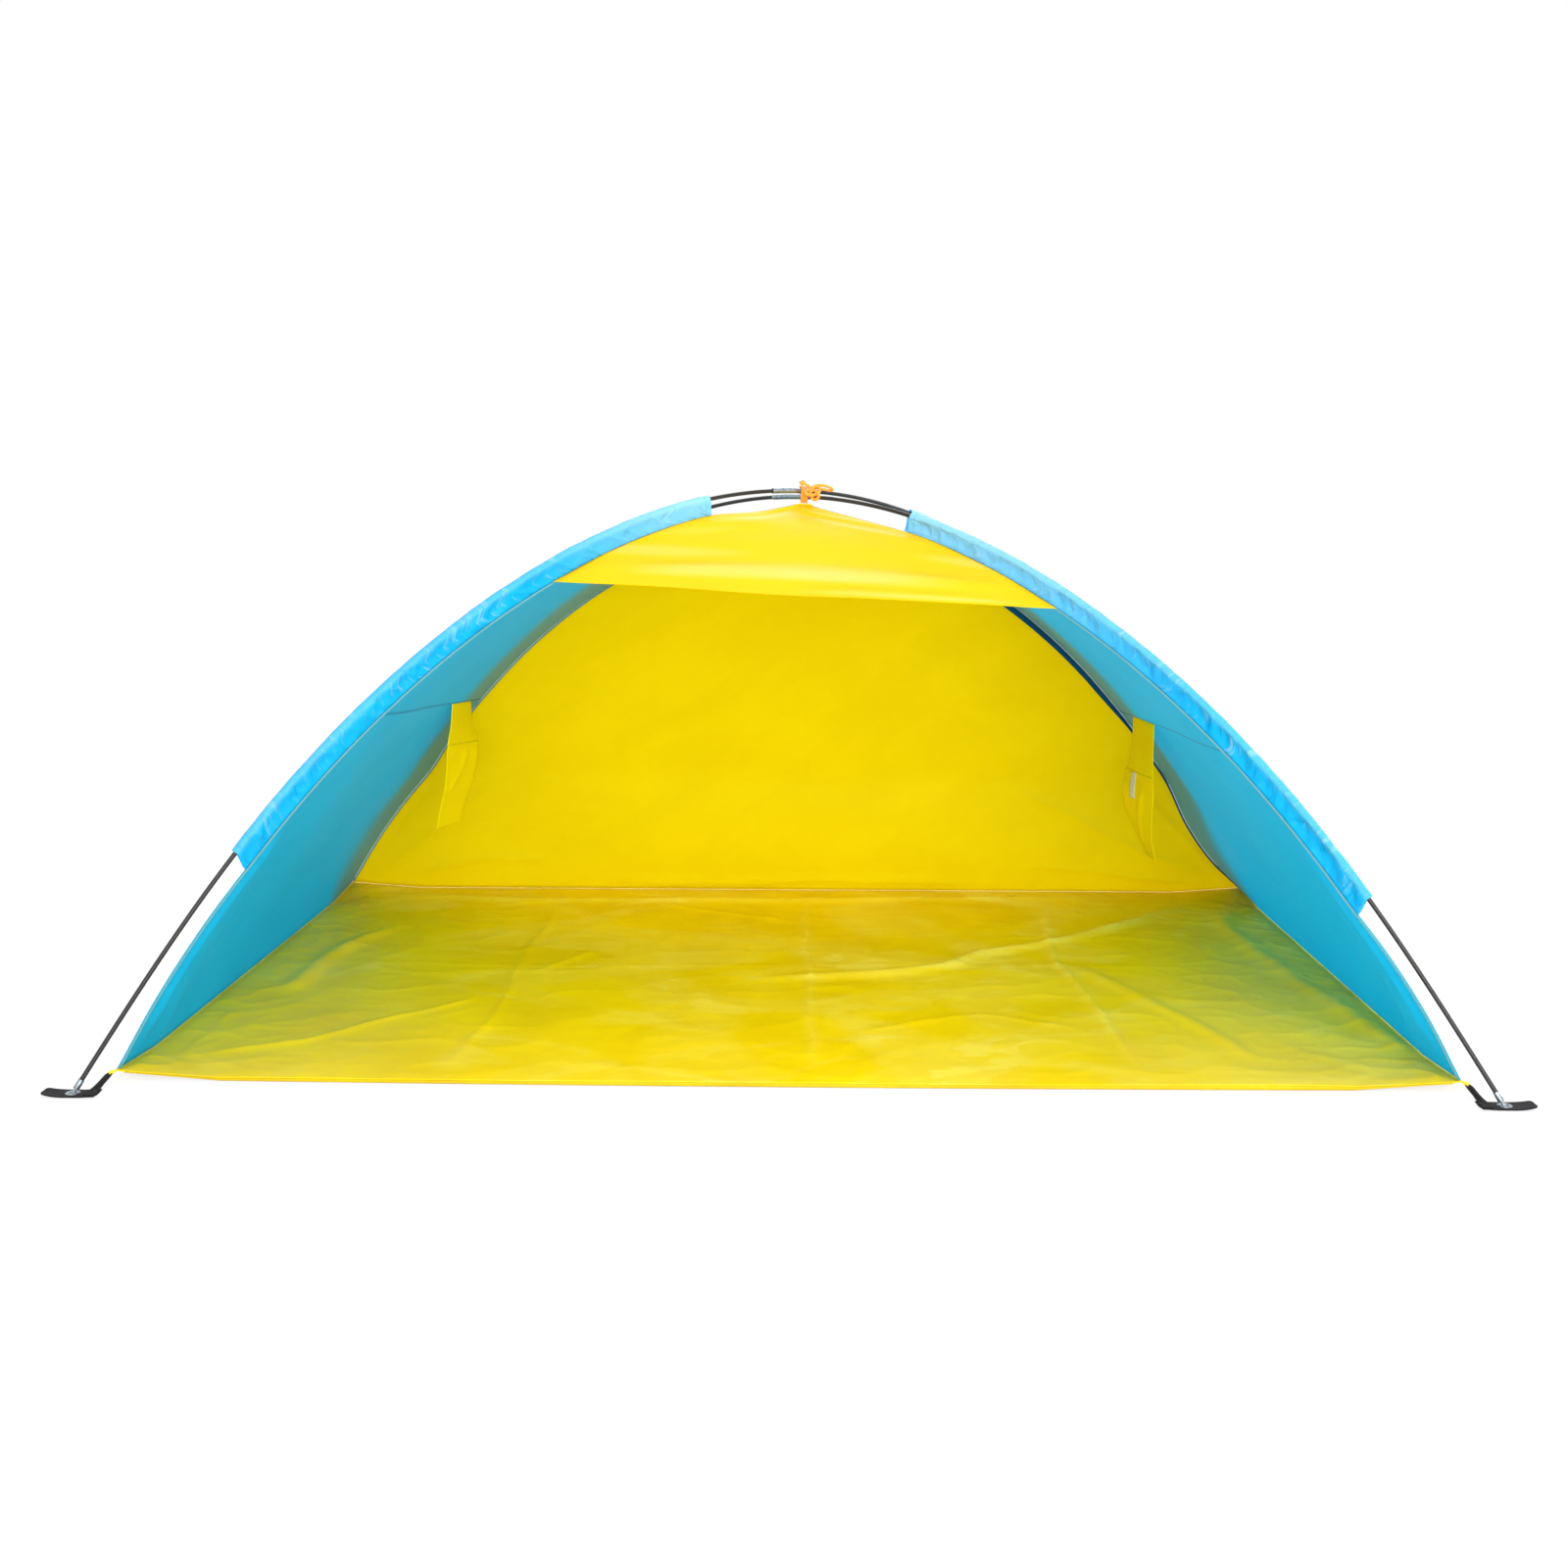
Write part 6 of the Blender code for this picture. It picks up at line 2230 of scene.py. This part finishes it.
@dataclass
class Crown(Part):
    """The canopy's top patch with its loop, and the orange cord that ties it to the crossed poles."""

    cord_diameter: float = 0.0040
    cord_gap: float = 0.0005
    knot_diameter: float = 0.0056
    knot_size: float = 0.0042
    knot_place: Spot = (0.017, -0.0060, -0.0105)
    knot_stretch: Spot = (1.15, 0.75, 1.0)
    stopper_size: float = 0.0013
    bow_fullness: float = 1.2
    route_steps: int = 48
    turns: int = 3
    turn_steps: int = 36
    pitch: float = 0.0043
    wrap_half_width: float = 0.0126
    strip: float = 0.0014
    strip_half: float = 0.0060
    strip_width: float = 0.006
    room: float = 0.0008
    patch_radius: float = 0.018
    patch_cloth: float = 0.0010
    patch_drop: float = 0.0016
    pleat_depth: float = 0.0012
    pleat_count: int = 9

    @property
    def top(self) -> float:
        """Returns the height of the cord's middle over the poles."""
        over = self.skeleton.crest_height + self.skeleton.crest_step("a") + self.skeleton.ferrule_radius
        return over + self.cord_diameter / 2 + self.cord_gap

    @property
    def bottom(self) -> float:
        """Returns the height of the cord's middle under the poles."""
        under = self.skeleton.crest_height + self.skeleton.crest_step("b") - self.skeleton.ferrule_radius
        return under - self.skeleton.seat_gap - self.strip - self.room - self.cord_diameter / 2

    def make_patch(self) -> Piece:
        """Makes the round patch that closes the top of the canopy, drawn up into a peak under the tie.

        Returns:
            The piece.
        """
        turns = np.linspace(0, 2 * np.pi, 72, endpoint=False)[None, :]
        out = np.linspace(0.06, 1, 16)[:, None]
        pleats = self.pleat_depth * np.sin(turns * self.pleat_count) * out * (1 - out) * 4
        peak = self.bottom - self.cord_diameter / 2 - self.room
        height = peak - self.patch_cloth / 2 - self.patch_drop * out**1.4 + pleats * 0.4
        radius = self.patch_radius * out + pleats
        across = self.skeleton.crest_shift + radius * np.cos(turns)
        grid = spots(across, radius * np.sin(turns), height)
        piece = cloth_solid("apex_patch", grid[::-1], self.patch_cloth, self.finishes.trim, True,
                            edge=self.patch_radius * (1 - out[::-1]) + 0 * turns)
        settle(piece, "yellow_cloth", "apex_loop")
        return piece

    def make_strip(self) -> Piece:
        """Makes the strip of the loop that the cord goes through.

        Returns:
            The piece.
        """
        low = self.bottom - self.cord_diameter / 2 - self.room
        high = self.bottom + self.cord_diameter / 2 + self.room + self.strip / 2
        turns = np.linspace(np.pi, 0, 25)
        line = spots(self.skeleton.crest_shift + self.strip_half * np.cos(turns), 0.0,
                     low + (high - low) * np.sin(turns) ** 0.5)
        across = np.linspace(-0.5, 0.5, 5)[None, :, None] * np.array([0.0, self.strip_width, 0.0])
        grid = line[:, None] + across
        piece = cloth_solid("apex_strip", grid, self.strip * 0.8, self.finishes.trim,
                            edge=flat_places(grid)[2])
        return settle(piece, "yellow_cloth")

    def make_wraps(self) -> Piece:
        """Makes the turns of cord round both poles.

        Returns:
            The piece.
        """
        share = np.linspace(0, 1, self.turn_steps * self.turns)
        angle = np.pi / 2 - 2 * np.pi * self.turns * share
        middle, half = (self.top + self.bottom) / 2, (self.top - self.bottom) / 2
        points = spots(self.skeleton.crest_shift + self.pitch * self.turns * (share - 0.5),
                       self.wrap_half_width * np.cos(angle), middle + half * np.sin(angle))
        piece = cord_curve("tie_wraps", points, self.cord_diameter / 2, self.finishes.tie)
        return settle(piece, "orange_cord", "tie_cord")

    @staticmethod
    def trefoil(size: float, turn: float, lean: float) -> Array:
        """Returns the route of an overhand knot, drawn tight.

        Args:
            size: A third of its half width.
            turn: How far it is turned in its own plane, in degrees.
            lean: How far that plane leans back from level, in degrees.

        Returns:
            Its points about zero.
        """
        turns = np.linspace(0, 2 * np.pi, 121)[:-1]
        knot = size * spots(np.sin(turns) + 2 * np.sin(2 * turns), np.cos(turns) - 2 * np.cos(2 * turns),
                            -np.sin(3 * turns))
        axes = Matrix.Rotation(math.radians(lean), 3, "X") @ Matrix.Rotation(math.radians(turn), 3, "Z")
        return knot @ np.array(axes).T

    def make_knot(self) -> Piece:
        """Makes the knot in front of the poles, which hides the peak of the canopy.

        Returns:
            The piece.
        """
        place = np.array([self.skeleton.crest_shift, -self.wrap_half_width, self.top]) + self.knot_place
        points = self.trefoil(self.knot_size, 25, 74) * np.array(self.knot_stretch) + place
        piece = cord_curve("tie_knot", points, self.knot_diameter / 2, self.finishes.tie, True)
        return settle(piece, "orange_cord")

    def make_ends(self) -> list[Piece]:
        """Makes the cord's bow loop on the right and its short end with a stopper knot on the left.

        Returns:
            The pieces.
        """
        start = np.array([self.skeleton.crest_shift + 0.010, -self.wrap_half_width * 0.8, self.top - 0.003])
        loop = start + np.array([
            [0.002, -0.006, 0.001], [0.012, -0.007, 0.0052], [0.025, -0.007, 0.0050],
            [0.037, -0.005, 0.0012], [0.0405, -0.001, -0.0020], [0.036, 0.002, -0.0036],
            [0.025, 0.001, -0.0014], [0.012, -0.001, 0.0010], [0.001, -0.003, 0.002]])
        end = start + np.array([
            [0.000, -0.004, 0.002], [-0.004, -0.006, 0.006], [-0.009, -0.006, 0.008],
            [-0.013, -0.005, 0.0095]])
        made = []
        for name, route in (("tie_bow", loop), ("tie_end", end)):
            points = smooth_through(route, np.linspace(0, len(route) - 1, self.route_steps))
            radius = self.cord_diameter / 2 * self.bow_fullness
            made.append(cord_curve(name, points, radius, self.finishes.tie))
        ball = self.trefoil(self.stopper_size, 10, 60) + end[-1]
        made.append(cord_curve("tie_stopper", ball, self.cord_diameter / 2, self.finishes.tie, True))
        return [settle(piece, "orange_cord") for piece in made]

    def build(self) -> list[Piece]:
        """Builds the top of the tent."""
        return [self.make_patch(), self.make_strip(), self.make_wraps(), self.make_knot(), *self.make_ends()]


# Camera, floor and light


@dataclass(frozen=True)
class Viewpoint:
    """Where the photograph was taken from, found by fitting the tent's corners and poles to it."""

    location: Spot = (0.0412, -2.9019, 0.8346)
    yaw: float = math.radians(-1.055)
    pitch: float = math.radians(-9.55)
    roll: float = math.radians(0.127)
    lens: float = 36.95
    sensor: float = 36.0

    def build(self) -> Piece:
        """Makes the camera."""
        forward = Vector((math.sin(self.yaw) * math.cos(self.pitch), math.cos(self.yaw) * math.cos(self.pitch),
                          math.sin(self.pitch)))
        level = forward.cross(Vector((0, 0, 1))).normalized()
        right = level * math.cos(self.roll) + level.cross(forward) * math.sin(self.roll)
        up = right.cross(forward)
        data = bpy.data.cameras.new("camera")
        data.lens, data.sensor_width = self.lens, self.sensor
        camera = linked("camera", data)
        axes = Matrix((right, up, -forward)).transposed().to_4x4()
        camera.matrix_world = Matrix.Translation(self.location) @ axes
        bpy.context.scene.camera = camera
        return camera


@dataclass(frozen=True)
class Lamp:
    """One soft lamp.

    Attributes:
        name: Its name.
        place: Where it stands.
        target: What it shines at.
        size: The side of its square face.
        power: Its power in watts.
    """

    name: str
    place: Spot
    target: Spot
    size: float
    power: float

    def build(self) -> Piece:
        """Makes the lamp."""
        data = bpy.data.lights.new(self.name, "AREA")
        data.size, data.energy = self.size, self.power
        lamp = linked(self.name, data)
        lamp.location = self.place
        aim = Vector(self.target) - Vector(self.place)
        lamp.rotation_euler = aim.to_track_quat("-Z", "Y").to_euler()
        return lamp


@dataclass
class Studio:
    """The pale floor, the white surroundings and the lamps."""

    floor_size: float = 40.0
    floor_drop: float = 0.0005
    floor_grey: Colour = (0.86, 0.86, 0.86)
    near_white: float = 0.78
    white_from: float = 1.1
    white_at: float = 2.6
    ambient: float = 0.76
    lamps: tuple[Lamp, ...] = (
        Lamp("top", (0.0, -0.3, 3.6), (0.0, 0.0, 0.3), 3.0, 30.0),
        Lamp("front", (0.7, -4.4, 1.4), (-0.1, 0.2, 0.1), 3.4, 215.0),
        Lamp("right", (3.6, 0.4, 1.6), (0.4, 0.0, 0.4), 2.4, 80.0),
        Lamp("left", (-3.6, 0.4, 1.6), (-0.4, 0.0, 0.4), 2.4, 20.0),
        Lamp("behind", (0.0, 3.6, 2.4), (0.0, 0.0, 0.4), 3.0, 110.0),
    )

    @staticmethod
    def seen_mask(bench: Bench) -> Signal:
        """Returns 1 where the camera, a gloss or clear glass looks, and 0 for light on its way."""
        camera, gloss, clear = (bench.node("ShaderNodeLightPath", output=f"Is {kind} Ray")
                                for kind in ("Camera", "Glossy", "Transmission"))
        return bench.node("ShaderNodeClamp", inputs={0: camera + gloss + clear})

    def make_floor(self) -> Piece:
        """Makes the pale floor, which keeps a faint shadow of the tent."""
        bench = Bench.material("studio_floor")
        matt = bench.node("ShaderNodeBsdfDiffuse", inputs={"Color": self.floor_grey})
        white = bench.node("ShaderNodeEmission", inputs={"Color": (1.0, 1.0, 1.0)})
        place = bench.node("ShaderNodeTexCoord", output="Object")
        away = bench.node("ShaderNodeVectorMath", {"operation": "LENGTH"}, {0: place}, "Value")
        white_share = away.between(self.white_from, self.white_at) * (1 - self.near_white)
        share = self.seen_mask(bench) * (self.near_white + white_share)
        shader = bench.node("ShaderNodeMixShader", inputs={0: share, 1: matt, 2: white})
        half, low = self.floor_size / 2, -self.floor_drop
        corners = np.array([[-half, -half, low], [half, -half, low], [half, half, low], [-half, half, low]])
        floor = place_mesh("studio_floor", corners, [[0, 1, 2, 3]], bench.finish(shader))
        return floor

    def make_world(self) -> None:
        """Makes the white surroundings, which light the tent less brightly than they look."""
        world = bpy.data.worlds.new("surroundings")
        bpy.context.scene.world = world
        bench = Bench(world)
        strength = self.ambient + self.seen_mask(bench) * (1.0 - self.ambient)
        inputs = {"Color": (1.0, 1.0, 1.0), "Strength": strength}
        bench.finish(bench.node("ShaderNodeBackground", inputs=inputs))

    def build(self) -> None:
        """Builds the floor, the surroundings and the lamps."""
        bpy.context.scene.view_settings.view_transform = "Standard"
        self.make_floor()
        self.make_world()
        for lamp in self.lamps:
            lamp.build()


def main() -> None:
    """Builds the camera, the tent and its surroundings."""
    logging.basicConfig(level=logging.INFO, format="%(name)s: %(message)s")
    Viewpoint().build()
    skeleton, finishes = Skeleton(), Finishes()
    canopy = Canopy(skeleton, finishes)
    for part in (canopy, Ground(skeleton, finishes), Sleeves(skeleton, finishes), Poles(skeleton, finishes),
                 Anchors(skeleton, finishes), Flaps(canopy, finishes), Crown(skeleton, finishes)):
        for piece in part.build():
            LOG.info("%s: %s", type(part).__name__, piece.name)
    Studio().build()


if __name__ == "__main__":
    main()
